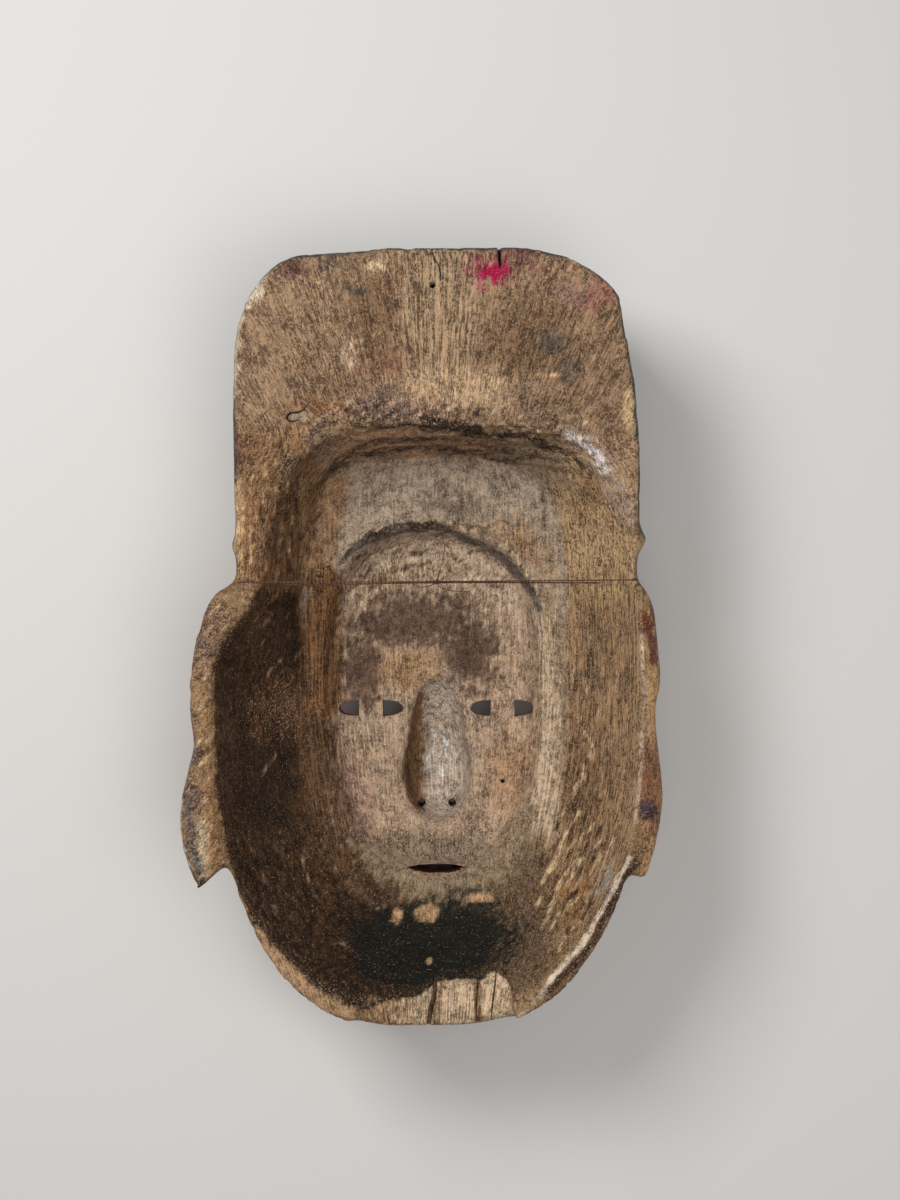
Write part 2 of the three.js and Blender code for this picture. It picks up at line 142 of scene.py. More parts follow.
# The main colours, from 0 to 255; smaller marks have theirs beside them.
TONES = {
    "bare_wood": (140, 114, 88),
    "hat": (147, 120, 95),
    "hat_middle": (152, 127, 101),
    "hat_edge": (54, 60, 60),
    "spilt_dye": (158, 14, 62),
    "left_strip": (134, 101, 73),
    "rim": (146, 116, 86),
    "bowl": (140, 120, 98),
    "right_wall": (150, 121, 91),
    # Stain on the left wall, deepened with painted shade.
    "left_wall_stain_and_shade": (55, 35, 19),
    "wall_foot": (98, 72, 50),
    "low_wall": (35, 21, 9),
    # Lighter than the wood around it: painted light on the wall under the lip.
    "top_wall": (170, 135, 108),
    "shelf": (152, 135, 118),
    "wedge": (156, 124, 95),
    "trough": (116, 84, 56),
    "face_floor": (168, 144, 122),
    "stain": (88, 68, 55),
    # Pale grey of the nose's pocket: painted highlight on its lit side.
    "pocket": (178, 162, 146),
    "black_patch": (25, 25, 19),
    "raw_wood": (196, 171, 142),
    "face_lacquer": (132, 70, 42),
    "hat_lacquer": (42, 50, 48),
    "worn_front": (150, 118, 84),
    "brow": (40, 30, 26),
    "eye_white": (176, 160, 132),
    "iris": (30, 24, 22),
    "lips": (128, 40, 32),
    "gilt": (168, 126, 62),
    # Painted shade in the grooves of the rosette and the brim's beads.
    "groove": (78, 52, 30),
}

# Turn from one scratch of a group to the next; close to the golden angle, it spreads them out.
SPREADING_TURN = 2.4

# The lights and the point they face, in metres of the shared frame.
KEY_LIGHT = {"at": (-0.5, 0.5, 1.0), "size": 0.45, "power": 8.0}
FILL_LIGHT = {"at": (0.25, -0.15, 1.25), "size": 0.7, "power": 5.6}
ROOM_LIGHT = 0.2
LIT_MIDDLE = Vector((0, 0, 0.05))

# Size of the first even squares; the back has them halved, its crisp edges halved again.
VOXEL = 3.12
# The grain fans out over the hat from this height, and draws together towards the chin.
GRAIN_MIDDLE = -25
GRAIN_REACH = 150


def place(x, y, z):
    """A point of the mask in metres of the shared frame."""
    return Vector(((x + MIDLINE[0]) * MM, (y + MIDLINE[1]) * MM, (z + MIDLINE[2]) * MM))


def mix(a, b, part):
    """The value some part of the way from one to another."""
    return a + (b - a) * part


def step(low, high, value):
    """Rises smoothly from 0 to 1 between two values."""
    part = np.clip((value - low) / (high - low), 0.0, 1.0)
    return part * part * (3.0 - 2.0 * part)


def bell(distance, width):
    """A soft hump, 1 in its middle."""
    return np.exp(-((distance / width) ** 2))


def band(low, high, value, soft):
    """1 between two values and 0 beyond them, with soft ends."""
    return step(low - soft, low + soft, value) * (1 - step(high - soft, high + soft, value))


# The camera looks straight down at the back of the mask as it lies.
PHOTO_HEIGHT = 548.4 * MM
VIEW_MIDDLE = (6.4, 18.05)
LENS = 65
SENSOR = 36
VIEW_HEIGHT = PHOTO_HEIGHT * LENS / SENSOR / MM


def add_camera():
    """A camera straight above the middle of the view."""
    data = bpy.data.cameras.new("camera")
    data.lens = LENS
    data.sensor_width = SENSOR
    camera = bpy.data.objects.new("camera", data)
    bpy.context.scene.collection.objects.link(camera)
    camera.location = place(*VIEW_MIDDLE, BACK + VIEW_HEIGHT)
    bpy.context.scene.camera = camera


class Nodes:
    """A material's node tree, with short calls for the nodes used here."""

    def __init__(self, name):
        self.material = bpy.data.materials.new(name)
        self.material.use_nodes = True
        self.tree = self.material.node_tree
        self.tree.nodes.clear()
        self.shader = self.add("ShaderNodeBsdfPrincipled")
        output = self.add("ShaderNodeOutputMaterial")
        self.link(self.shader.outputs["BSDF"], output.inputs["Surface"])

    def add(self, kind, **settings):
        node = self.tree.nodes.new(kind)
        for name, value in settings.items():
            setattr(node, name, value)
        return node

    def link(self, output, socket):
        self.tree.links.new(output, socket)

    def put(self, socket, value):
        """Links a node's output to a socket, or sets the socket's own value."""
        if isinstance(value, bpy.types.NodeSocket):
            self.link(value, socket)
        elif value is not None:
            socket.default_value = value

    def math(self, operation, a, b=None, c=None, clamp=False):
        node = self.add("ShaderNodeMath", operation=operation, use_clamp=clamp)
        for socket, value in zip(node.inputs, (a, b, c)):
            self.put(socket, value)
        return node.outputs[0]

    def stretch(self, vector, scale):
        node = self.add("ShaderNodeVectorMath", operation="MULTIPLY")
        self.put(node.inputs[0], vector)
        self.put(node.inputs[1], scale)
        return node.outputs[0]

    def mix(self, amount, a, b, blend="MIX"):
        node = self.add("ShaderNodeMix", data_type="RGBA", blend_type=blend, clamp_factor=True)
        self.put(node.inputs["Factor"], amount)
        self.put(node.inputs[6], a)
        self.put(node.inputs[7], b)
        return node.outputs[2]

    def range(self, value, low, high, to_low=0.0, to_high=1.0, smooth=True):
        node = self.add("ShaderNodeMapRange", interpolation_type="SMOOTHSTEP" if smooth else "LINEAR")
        for socket, given in zip(node.inputs, (value, low, high, to_low, to_high)):
            self.put(socket, given)
        return node.outputs[0]

    def noise(self, vector, scale=1.0, detail=2.0, roughness=0.5, distortion=0.0):
        node = self.add("ShaderNodeTexNoise")
        self.put(node.inputs["Vector"], vector)
        self.put(node.inputs["Scale"], scale)
        self.put(node.inputs["Detail"], detail)
        self.put(node.inputs["Roughness"], roughness)
        self.put(node.inputs["Distortion"], distortion)
        return node.outputs["Fac"]

    def attribute(self, name, output="Color"):
        node = self.add("ShaderNodeAttribute", attribute_type="GEOMETRY", attribute_name=name)
        return node.outputs[output]

    def parts(self, colour):
        node = self.add("ShaderNodeSeparateColor")
        self.link(colour, node.inputs[0])
        return node.outputs[0], node.outputs[1], node.outputs[2]

    def object_mm(self):
        """Object coordinates in millimetres."""
        return self.stretch(self.add("ShaderNodeTexCoord").outputs["Object"], (1000, 1000, 1000))

    def bump(self, height, strength, distance):
        node = self.add("ShaderNodeBump")
        node.inputs["Strength"].default_value = strength
        node.inputs["Distance"].default_value = distance
        self.link(height, node.inputs["Height"])
        self.link(node.outputs["Normal"], self.shader.inputs["Normal"])


def linear(colour):
    """An sRGB colour from 0 to 255, as the linear colour that a shader takes."""
    part = np.clip(np.asarray(colour, float) / 255.0, 0.0, 1.0)
    return np.where(part <= 0.04045, part / 12.92, ((part + 0.055) / 1.055) ** 2.4)


def shade(colour):
    """The same with its opacity, for a socket."""
    return (*linear(colour), 1.0)


# Strings: one strand runs between the lashing holes, the other over both rims.
STRAND = 0.68
TIE_ROUTE = [
    (-76.93, 25, 85.94), (-73.5, 25, 88), (-65.5, 25, 98.83), (-53.5, 25, 101.5), (0, 26, 101.5),
    (53, 26, 101.5), (65, 26, 98.83), (73, 26, 88), (76.43, 26, 85.94),
]
WRAP_ROUTE = [
    (-88.0, 25.0, 78.4), (-91.6, 25.2, 78.6), (-92.0, 25.6, 86), (-91.9, 26.0, 98), (-90.6, 26.2, 103.6),
    (-86, 26.2, 104.3), (-60, 26.2, 103.4), (-30, 26.3, 102.6), (0, 26.5, 102.1), (30, 26.7, 102.6),
    (60, 27.0, 103.4), (86, 27.2, 104.3), (91.2, 27.2, 103.7), (92.9, 27.0, 98), (93.0, 26.6, 86),
    (92.6, 26.2, 78.2), (89.0, 26.0, 78.0),
]
KNOT = (0.5, 26.3, 101.8)
LOOSE_ENDS = {
    "loose_end_up": [(0.6, 26.5, 102.3), (1.6, 31, 103.2), (3.2, 37, 102.2), (4.0, 43, 99.5)],
    "loose_end_right": [(0.6, 26.0, 102.0), (2.4, 23.6, 102.6), (8, 22.2, 102.4), (15.5, 21.8, 100.9)],
    "loose_end_left": [(0.2, 26.0, 101.6), (-2.6, 24.6, 101.0), (-6.5, 24.0, 100.4), (-9.0, 24.4, 100.0)],
}


def catmull_rom(points, steps):
    """A smooth line through the points."""
    line = []
    ends = [2 * points[0] - points[1], *points, 2 * points[-1] - points[-2]]
    for a, b, c, d in zip(ends, ends[1:], ends[2:], ends[3:]):
        for i in range(steps):
            t = i / steps
            curve = 2 * b + (c - a) * t
            curve += (2 * a - 5 * b + 4 * c - d) * t ** 2
            curve += (3 * b - a - 3 * c + d) * t ** 3
            line.append(curve / 2)
    return [*line, points[-1]]


def strand(name, route, diameter, steps=4):
    """A string along a route, with its first point and its length in metres."""
    data = bpy.data.curves.new(name, "CURVE")
    data.dimensions = "3D"
    data.bevel_depth = diameter * MM / 2
    data.bevel_resolution = 3
    data.use_fill_caps = True
    line = catmull_rom([place(*point) for point in route], steps)
    spline = data.splines.new("POLY")
    spline.points.add(len(line) - 1)
    for point, at in zip(spline.points, line):
        point.co = (*at, 1.0)
    piece = bpy.data.objects.new(name, data)
    bpy.context.scene.collection.objects.link(piece)
    length = sum((b - a).length for a, b in zip(line, line[1:]))
    return piece, line[0], length


def twine_material():
    """Thin brown thread of two twisted plies, with painted shade between them, darker where it is dirty."""
    nodes = Nodes("twine")
    at = nodes.object_mm()
    parts = nodes.add("ShaderNodeSeparateXYZ")
    nodes.link(at, parts.inputs[0])
    along = nodes.math("ADD", parts.outputs[0], parts.outputs[2])
    turn = nodes.math("MULTIPLY_ADD", parts.outputs[1], 3.0, nodes.math("MULTIPLY", along, 3.4))
    ply = nodes.range(nodes.math("SINE", turn), -0.7, 0.9)
    dirt = nodes.range(nodes.noise(at, 0.09, 3.0), 0.45, 0.75)
    # Painted shade: the thread is darker in the grooves between the plies.
    thread = nodes.mix(ply, shade((62, 38, 25)), shade((132, 90, 62)))
    nodes.link(nodes.mix(dirt, thread, shade((54, 38, 30))), nodes.shader.inputs["Base Color"])
    nodes.link(nodes.range(dirt, 0.0, 1.0, 0.8, 0.95), nodes.shader.inputs["Roughness"])
    nodes.bump(ply, 0.7, 0.0002)
    return nodes.material


def knot_mesh():
    """An overhand knot, as a small lumpy ball with turns of thread round it."""
    form = bmesh.new()
    bmesh.ops.create_icosphere(form, subdivisions=3, radius=1.0)
    for vertex in form.verts:
        turn = math.atan2(vertex.co.z, vertex.co.y)
        ridge = 0.16 * math.cos(3 * turn + 5.0 * vertex.co.x)
        vertex.co *= 1.0 + ridge
    bmesh.ops.scale(form, vec=(0.95 * MM, 1.15 * MM, 0.9 * MM), verts=form.verts)
    bmesh.ops.translate(form, vec=place(*KNOT), verts=form.verts)
    mesh = bpy.data.meshes.new("string_knot")
    form.to_mesh(mesh)
    form.free()
    for polygon in mesh.polygons:
        polygon.use_smooth = True
    return mesh


def add_strings():
    """Both strands, the knot and its loose ends, all of the same thread."""
    thread = twine_material()
    tie, tie_exit, tie_length = strand("tie_strand", TIE_ROUTE, STRAND)
    wrap, wrap_exit, wrap_length = strand("wrap_strand", WRAP_ROUTE, STRAND * 0.92)
    knot = bpy.data.objects.new("string_knot", knot_mesh())
    bpy.context.scene.collection.objects.link(knot)
    loose = []
    for name, route in LOOSE_ENDS.items():
        loose.append(strand(name, route, STRAND * 0.6, 6)[0])
    for piece in (tie, wrap, knot, *loose):
        piece.data.materials.append(thread)
        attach(piece, "root")
    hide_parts("tie_cord")


def ring(x, y, middle, edge):
    """How far out a point lies in a rounded opening: 0 in its middle, 1 on its edge."""
    dx = x - middle[0]
    dy = y - middle[1]
    upward = dy / np.maximum(np.hypot(dx, dy), 1e-6)
    left = mix(edge["left"], edge["left_high"], step(0.2, 0.62, upward))
    side = np.where(dx > 0, edge["right"], left)
    end = np.where(dy > 0, edge["top"], edge["bottom"])
    power = np.where(dy > 0, edge["square_top"], edge["square_bottom"])
    return (np.abs(dx / side) ** power + np.abs(dy / end) ** power) ** (1 / power)


class Surface:
    """The mask's points in millimetres from the mid-line, and what is known at each of them."""

    def __init__(self, points, normals):
        self.points = points / MM - MIDLINE
        self.normals = normals
        self.x, self.y, self.z = self.points.T
        self.up = self.normals[:, 2]
        self.bowl = ring(self.x, self.y, BOWL_MIDDLE, BOWL_EDGE)
        self.floor = ring(self.x, self.y, BOWL_MIDDLE, BOWL_FLOOR)
        self.oval = ring(self.x, self.y, OVAL_MIDDLE, OVAL_EDGE)
        self.level = BACK - self.z
        outer_wall = step(1.0, 1.02, self.bowl) * (1 - step(0.1, 0.4, self.up))
        self.front = np.maximum(1 - step(-0.25, 0.0, self.up), outer_wall)
        self.back = 1 - self.front

    @classmethod
    def of_mesh(cls, mesh):
        return cls(read(mesh.vertices, "co"), read(mesh.vertices, "normal"))

    def lumps(self, size, seed, stretch=(1, 1, 1)):
        """Smooth noise from about -1 to 1, with lumps of this size in millimetres."""
        spots = self.points / (np.array(stretch) * size) + seed * 17.31
        return np.array([noise.noise(spot) for spot in spots.tolist()])

    def fibres(self, size, seed, length):
        """Noise drawn out along the wood's grain."""
        spots = grain_of(self) / (size, size * length, size) + seed * 23.7
        return np.array([noise.noise(spot) for spot in spots.tolist()])


def read(items, name):
    values = np.empty(len(items) * 3)
    items.foreach_get(name, values)
    return values.reshape(-1, 3)


def grain_of(surface):
    """Coordinates that follow the tool marks: across, along and through, in millimetres."""
    x, y = surface.x, surface.y
    turn = np.arctan2(x, np.maximum(y - GRAIN_MIDDLE, 20))
    on_hat = step(70, 100, y)
    below = np.minimum(0, y + 20) / GRAIN_REACH
    across = mix(x * (1 + 0.75 * below ** 2), turn * GRAIN_REACH, on_hat)
    along = mix(y - GRAIN_MIDDLE, np.hypot(x, y - GRAIN_MIDDLE), on_hat)
    on_ear = step(1.01, 1.03, surface.bowl) * (1 - step(20, 30, y)) * step(88, 94, np.abs(x))
    across = mix(across, x * 0.8 - y * 0.6, on_ear)
    along = mix(along, x * 0.6 + y * 0.8, on_ear)
    return np.stack([across, along, surface.z], axis=1)


def applied(carrier):
    """The mesh of an object with its modifiers applied."""
    graph = bpy.context.evaluated_depsgraph_get()
    graph.update()
    return bpy.data.meshes.new_from_object(carrier.evaluated_get(graph))


def remeshed(rough):
    """An even mesh of small squares over a closed form."""
    carrier = bpy.data.objects.new("rough", rough)
    bpy.context.scene.collection.objects.link(carrier)
    remesh = carrier.modifiers.new("remesh", "REMESH")
    remesh.mode = "VOXEL"
    remesh.voxel_size = VOXEL * MM
    mesh = applied(carrier)
    bpy.data.objects.remove(carrier)
    return mesh


def smooth(form, points, times):
    """Draws each point towards its neighbours."""
    axes = {"use_axis_x": True, "use_axis_y": True, "use_axis_z": True}
    for _ in range(times):
        bmesh.ops.smooth_vert(form, verts=points, factor=0.5, **axes)


def split(form, chosen):
    """Halves the squares that a choice picks out."""
    form.faces.ensure_lookup_table()
    centres = np.array([tuple(face.calc_center_median()) for face in form.faces])
    normals = np.array([tuple(face.normal) for face in form.faces])
    wanted = np.nonzero(chosen(Surface(centres, normals)))[0].tolist()
    edges = {edge for index in wanted for edge in form.faces[index].edges}
    bmesh.ops.subdivide_edges(form, edges=list(edges), cuts=1, use_grid_fill=True)
    form.normal_update()


def shaped_places(s):
    """The hollow, the back and the carved parts of the front."""
    hollow = (s.bowl < 0.99) & (s.up > -0.1)
    carving = (s.up < -0.2) & (np.abs(s.x) < 52) & (s.y > MOUTH - 16) & (s.y < BROW + 12)
    brim = (s.up < 0.3) & (s.z < 60) & (s.y > BRIM_LOW - 2) & (s.y < BRIM_HIGH + 2)
    return (s.up > 0.12) | hollow | carving | brim


def crisp_places(s):
    """The lip above the hollow, the arch, the broken chin, the low rim and the knife cuts."""
    lip = (np.abs(s.bowl - 1) < 0.03) & (s.y > 66) & (np.abs(s.x) < 72)
    arch = (np.abs(s.oval - 0.99) < 0.045) & (s.y > 2) & (s.level > 42)
    chin = (s.y < -149) & (np.abs(s.x) < 42)
    rim = (np.abs(s.bowl - 1) < 0.025) & (s.y < -95)
    glint = (np.hypot(s.x - 73, s.y - 84) < 14) & (s.level < 14)
    marks = (np.hypot(s.x + 62, s.y - 104) < 9) | (np.hypot(s.x - 27, s.y - 170) < 9)
    return (s.up > -0.1) & (lip | arch | chin | rim | glint | marks)


def refined(mesh):
    """Smooths the steps out of the even squares and makes them finer where there is more to see."""
    form = bmesh.new()
    form.from_mesh(mesh)
    smooth(form, form.verts, 2)
    split(form, shaped_places)
    smooth(form, form.verts, 3)
    worn = [vertex for vertex in form.verts if is_worn(*(np.array(vertex.co) / MM - MIDLINE))]
    smooth(form, worn, 48)
    split(form, crisp_places)
    smooth(form, form.verts, 1)
    form.to_mesh(mesh)
    form.free()


def is_worn(x, y, z):
    """Where the left rim of the upper hollow has been rubbed round."""
    return -91 < x < -58 and 27 < y < 92 and z > 62


def carve_hat(surface):
    """Undulating hat back with shallow tool marks, and the crusty lip above the hollow."""
    hat = surface.back * step(98, 104, surface.y) * (1 - step(2, 5, surface.level))
    move = hat * (surface.fibres(2.6, 4, 8) * 0.22 + surface.fibres(9, 5, 5) * 0.45)
    lip = surface.back * bell(surface.bowl - 1.0, 0.035) * step(60, 90, surface.y)
    lip *= step(-74, -60, surface.x)
    move += lip * (surface.lumps(3.2, 16) * 1.3 + surface.lumps(11, 17, (2, 1, 1)) * 1.6 - 0.5)
    return move


def carve_bowl(surface):
    """Gouge marks on the walls, ridges at the foot of the top wall and the arch with its frayed edge."""
    x, y, level, back = surface.x, surface.y, surface.level, surface.back
    wall = back * step(4, 10, level)
    move = -wall * np.abs(surface.fibres(7, 3, 5)) * 0.9
    top_wall = back * step(78, 84, y) * (1 - step(96, 99, y)) * step(2, 8, level)
    ridges = np.sin((y + 0.002 * x ** 2 + surface.lumps(20, 6) * 2) * 1.6)
    move += top_wall * (ridges * 0.45 + surface.lumps(3, 7, (4, 1, 1)) * 0.8)
    arch = back * bell(surface.oval - 1.0, 0.03) * step(4, 22, y)
    move += arch * (1.1 + surface.lumps(3.4, 8) * 2.0)
    under = back * step(14, 30, y) * (1 - step(0.88, 0.96, surface.oval)) * step(48, 56, level)
    move += under * np.sin(surface.oval * 62 + surface.lumps(16, 9) * 3) * 0.2
    trough = bell(x + 56 + 0.03 * y, 8) * step(-38, -30, y) * (1 - step(18, 42, y)) * back
    return move - trough * 2.0


def carve_face_hollow(surface):
    """The inside of the face: two grooves above the nose, a rough ledge and the dip to the mouth."""
    x, y, back = surface.x, surface.y, surface.back
    move = 0.0
    for side in (-1, 1):
        groove = bell(x - side * 9 - 1, 5.5) * step(-52, -42, y) * (1 - step(-16, -9, y))
        move = move - back * groove * 1.8
    shelf = back * step(42, 50, surface.level)
    lip = bell(y - NOSE_BASE + 9, 3.2) * (1 - step(24, 32, np.abs(x)))
    hollow = bell(y - MOUTH - 5, 4.2) * (1 - step(14, 28, np.abs(x)))
    return move + shelf * lip * (1.6 + surface.lumps(4, 10) * 1.8) - shelf * hollow * 1.5


def carve_front(surface):
    """Eyelids on the face, beads and petals on the brim, ribs on the plaque."""
    x, y, front = surface.x, surface.y, surface.front
    side = np.abs(x)
    down = front * (1 - step(-0.5, -0.2, surface.up))
    across = (side - EYE_WIDTH) / (EYE_WIDTH / 2)
    upwards = (y - EYE_LINE) / (EYE_HEIGHT / 2 + 1)
    move = down * bell(np.sqrt(across ** 2 + upwards ** 2) - 1.12, 0.13) * 1.3
    for row in (BRIM_LOW + 4, BRIM_HIGH - 4):
        beads = np.cos(x * math.pi / BEAD) ** 2 * bell(y - row, BEAD * 0.35)
        move = move + down * beads * 1.6 * step(ROSETTE["radius"] + 2, ROSETTE["radius"] + 5, side)
    far = np.hypot(x, y - ROSETTE["y"])
    petals = np.cos(np.arctan2(x, y - ROSETTE["y"]) * PETALS / 2) ** 2
    move = move + down * petals * bell(far - ROSETTE["radius"] * 0.72, 4) * 1.8
    panel = np.abs(x) / PLAQUE_HALF + step(PLAQUE_FOOT, PLAQUE_TIP, y)
    ribs = np.cos(panel * math.pi * 4) * (1 - step(0.85, 1.0, panel))
    ribs *= step(PLAQUE_FOOT, PLAQUE_FOOT + 3, y)
    return move + down * ribs * 0.8


def carve(surface):
    """How far each point moves out along its normal, in millimetres."""
    wander = surface.lumps(46, 1) * 0.9 + surface.lumps(17, 2) * 0.35
    move = wander * mix(0.6, 1.0, surface.back)
    move += carve_hat(surface) + carve_bowl(surface) + carve_face_hollow(surface) + carve_front(surface)
    move += raw_wood(surface) * surface.fibres(1.6, 11, 14) * 0.8
    return move * step(1, 6, surface.z)


def raw_wood(surface):
    """The split chin: 1 on its bare flat."""
    line = np.interp(surface.x, *zip(*BREAK_LINE)) + surface.lumps(3, 13, (1, 2, 1)) * 1.2
    inside = step(BREAK_SIDES[0] - 1, BREAK_SIDES[0] + 1, surface.x)
    inside *= 1 - step(BREAK_SIDES[1] - 1, BREAK_SIDES[1] + 2, surface.x)
    return inside * (1 - step(-0.6, 0.6, surface.y - line)) * step(0.1, 0.5, surface.up)


def chipped_edge(surface):
    """Small bites out of the worn outline, in millimetres inwards."""
    near_back = step(BACK - 9, BACK - 2, surface.z)
    outside = step(1.01, 1.03, surface.bowl)
    side = 1 - step(0.5, 0.95, surface.up)
    bites = step(0.12, 0.42, surface.lumps(7, 14)) * 0.9 + step(0.2, 0.5, surface.lumps(2.8, 15)) * 0.6
    low = 1 - step(-118, -96, surface.y)
    return near_back * outside * side * bites * mix(0.7, 1.8, low)


def tube_cutter(form, x, y, low, high, radius):
    """A standing peg, not quite round and wider at its top."""
    cone = bmesh.ops.create_cone(form, cap_ends=True, segments=14, depth=(high - low) * MM,
                                 radius1=radius * MM * 0.7, radius2=radius * MM * 1.05)
    for vertex in cone["verts"]:
        vertex.co.x *= 1 + 0.14 * math.sin(9 * vertex.co.y / MM)
    bmesh.ops.translate(form, vec=place(x, y, (low + high) / 2), verts=cone["verts"])


def prism_cutter(form, outline, low, high):
    """A standing prism over a closed outline."""
    face = form.faces.new([form.verts.new(place(px, py, low)) for px, py in outline])
    made = bmesh.ops.extrude_face_region(form, geom=[face])["geom"]
    upper = [item for item in made if isinstance(item, bmesh.types.BMVert)]
    bmesh.ops.translate(form, vec=(0, 0, (high - low) * MM), verts=upper)


def crack_cutter(form, route, width, low, high, steps=4):
    """A standing wedge along a curved line, thickest in its middle."""
    line = catmull_rom([Vector((px, py)) for px, py in route], steps)
    left, right = [], []
    for i, point in enumerate(line):
        ahead = (line[min(i + 1, len(line) - 1)] - line[max(i - 1, 0)]).normalized()
        half = width / 2 * (0.25 + 0.75 * math.sin(math.pi * (i + 0.5) / len(line)))
        left.append((point.x - ahead.y * half, point.y + ahead.x * half))
        right.append((point.x + ahead.y * half, point.y - ahead.x * half))
    prism_cutter(form, left + right[::-1], low, high)


def eye_openings(form):
    """Two knife-cut half almonds beside each iris."""
    for side in (-1, 1):
        for outward in (-1, 1):
            outline = []
            for i in range(9):
                turn = math.pi * (i / 8 - 0.5)
                reach = IRIS + EYE_OPENING["width"] * math.cos(turn) ** 0.8
                rise = EYE_OPENING["rise"] * math.sin(turn)
                outline.append((side * EYE_WIDTH + outward * reach, EYE_LINE + rise))
            prism_cutter(form, outline, 0, BOWL_DEPTH + 2)


def mouth_opening(form):
    """A narrow slot between the lips, its lower edge the more curved."""
    half = MOUTH_WIDTH * 0.31
    low = [(half * (i / 4 - 1), MOUTH - MOUTH_GAP / 2 * (1 - (i / 4 - 1) ** 2)) for i in range(9)]
    high = [(half * (1 - i / 4), MOUTH + MOUTH_GAP / 6 * (1 - (i / 4 - 1) ** 2)) for i in range(1, 8)]
    prism_cutter(form, low + high, -2, BOWL_DEPTH + 8)


def nostril_holes(form):
    """Two round holes from the nose's pocket out through its foot."""
    for side in (-1, 1):
        tube_cutter(form, side * NOSTRIL["x"], NOSE_BASE + NOSTRIL["up"], -2, BACK - 40, NOSTRIL["radius"])


def damage(form):
    """Nail hole, worm hole, splits and cracks."""
    nail, worm = NAIL_HOLE, WORM_HOLE
    tube_cutter(form, nail["x"], nail["y"], BACK - nail["depth"], ABOVE_BACK, nail["radius"])
    tube_cutter(form, worm["x"], worm["y"], worm["low"], worm["high"], worm["radius"])
    for route, width, depth in CRACKS:
        crack_cutter(form, route, width, BACK - depth, ABOVE_BACK)


def cutting_form():
    """Everything that is cut out of the wood, as one mesh."""
    form = bmesh.new()
    eye_openings(form)
    mouth_opening(form)
    nostril_holes(form)
    damage(form)
    bmesh.ops.recalc_face_normals(form, faces=form.faces)
    mesh = bpy.data.meshes.new("cutters")
    form.to_mesh(mesh)
    form.free()
    return mesh


def cut(mesh, cutter):
    """The mesh with the cutter's forms taken out of it."""
    carrier = bpy.data.objects.new("carrier", mesh)
    tool = bpy.data.objects.new("tool", cutter)
    for thing in (carrier, tool):
        bpy.context.scene.collection.objects.link(thing)
    boolean = carrier.modifiers.new("cut", "BOOLEAN")
    boolean.operation = "DIFFERENCE"
    boolean.solver = "EXACT"
    boolean.object = tool
    result = applied(carrier)
    bpy.data.objects.remove(carrier)
    bpy.data.objects.remove(tool)
    return result


def mask_mesh():
    """The solid mask with its surface made fine, carved and cut."""
    form = bmesh.new()
    form.from_mesh(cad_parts["mask"].data)
    bmesh.ops.remove_doubles(form, verts=form.verts, dist=0.000001)
    rough = bpy.data.meshes.new("rough")
    form.to_mesh(rough)
    form.free()
    mesh = remeshed(rough)
    refined(mesh)
    surface = Surface.of_mesh(mesh)
    move = carve(surface) - chipped_edge(surface)
    points = surface.points + surface.normals * move[:, None]
    points[:, 2] = np.clip(points[:, 2], 0.0, None)
    mesh.vertices.foreach_set("co", ((points + MIDLINE) * MM).ravel())
    mesh.update()
    mesh = cut(mesh, cutting_form())
    for polygon in mesh.polygons:
        polygon.use_smooth = True
    return mesh


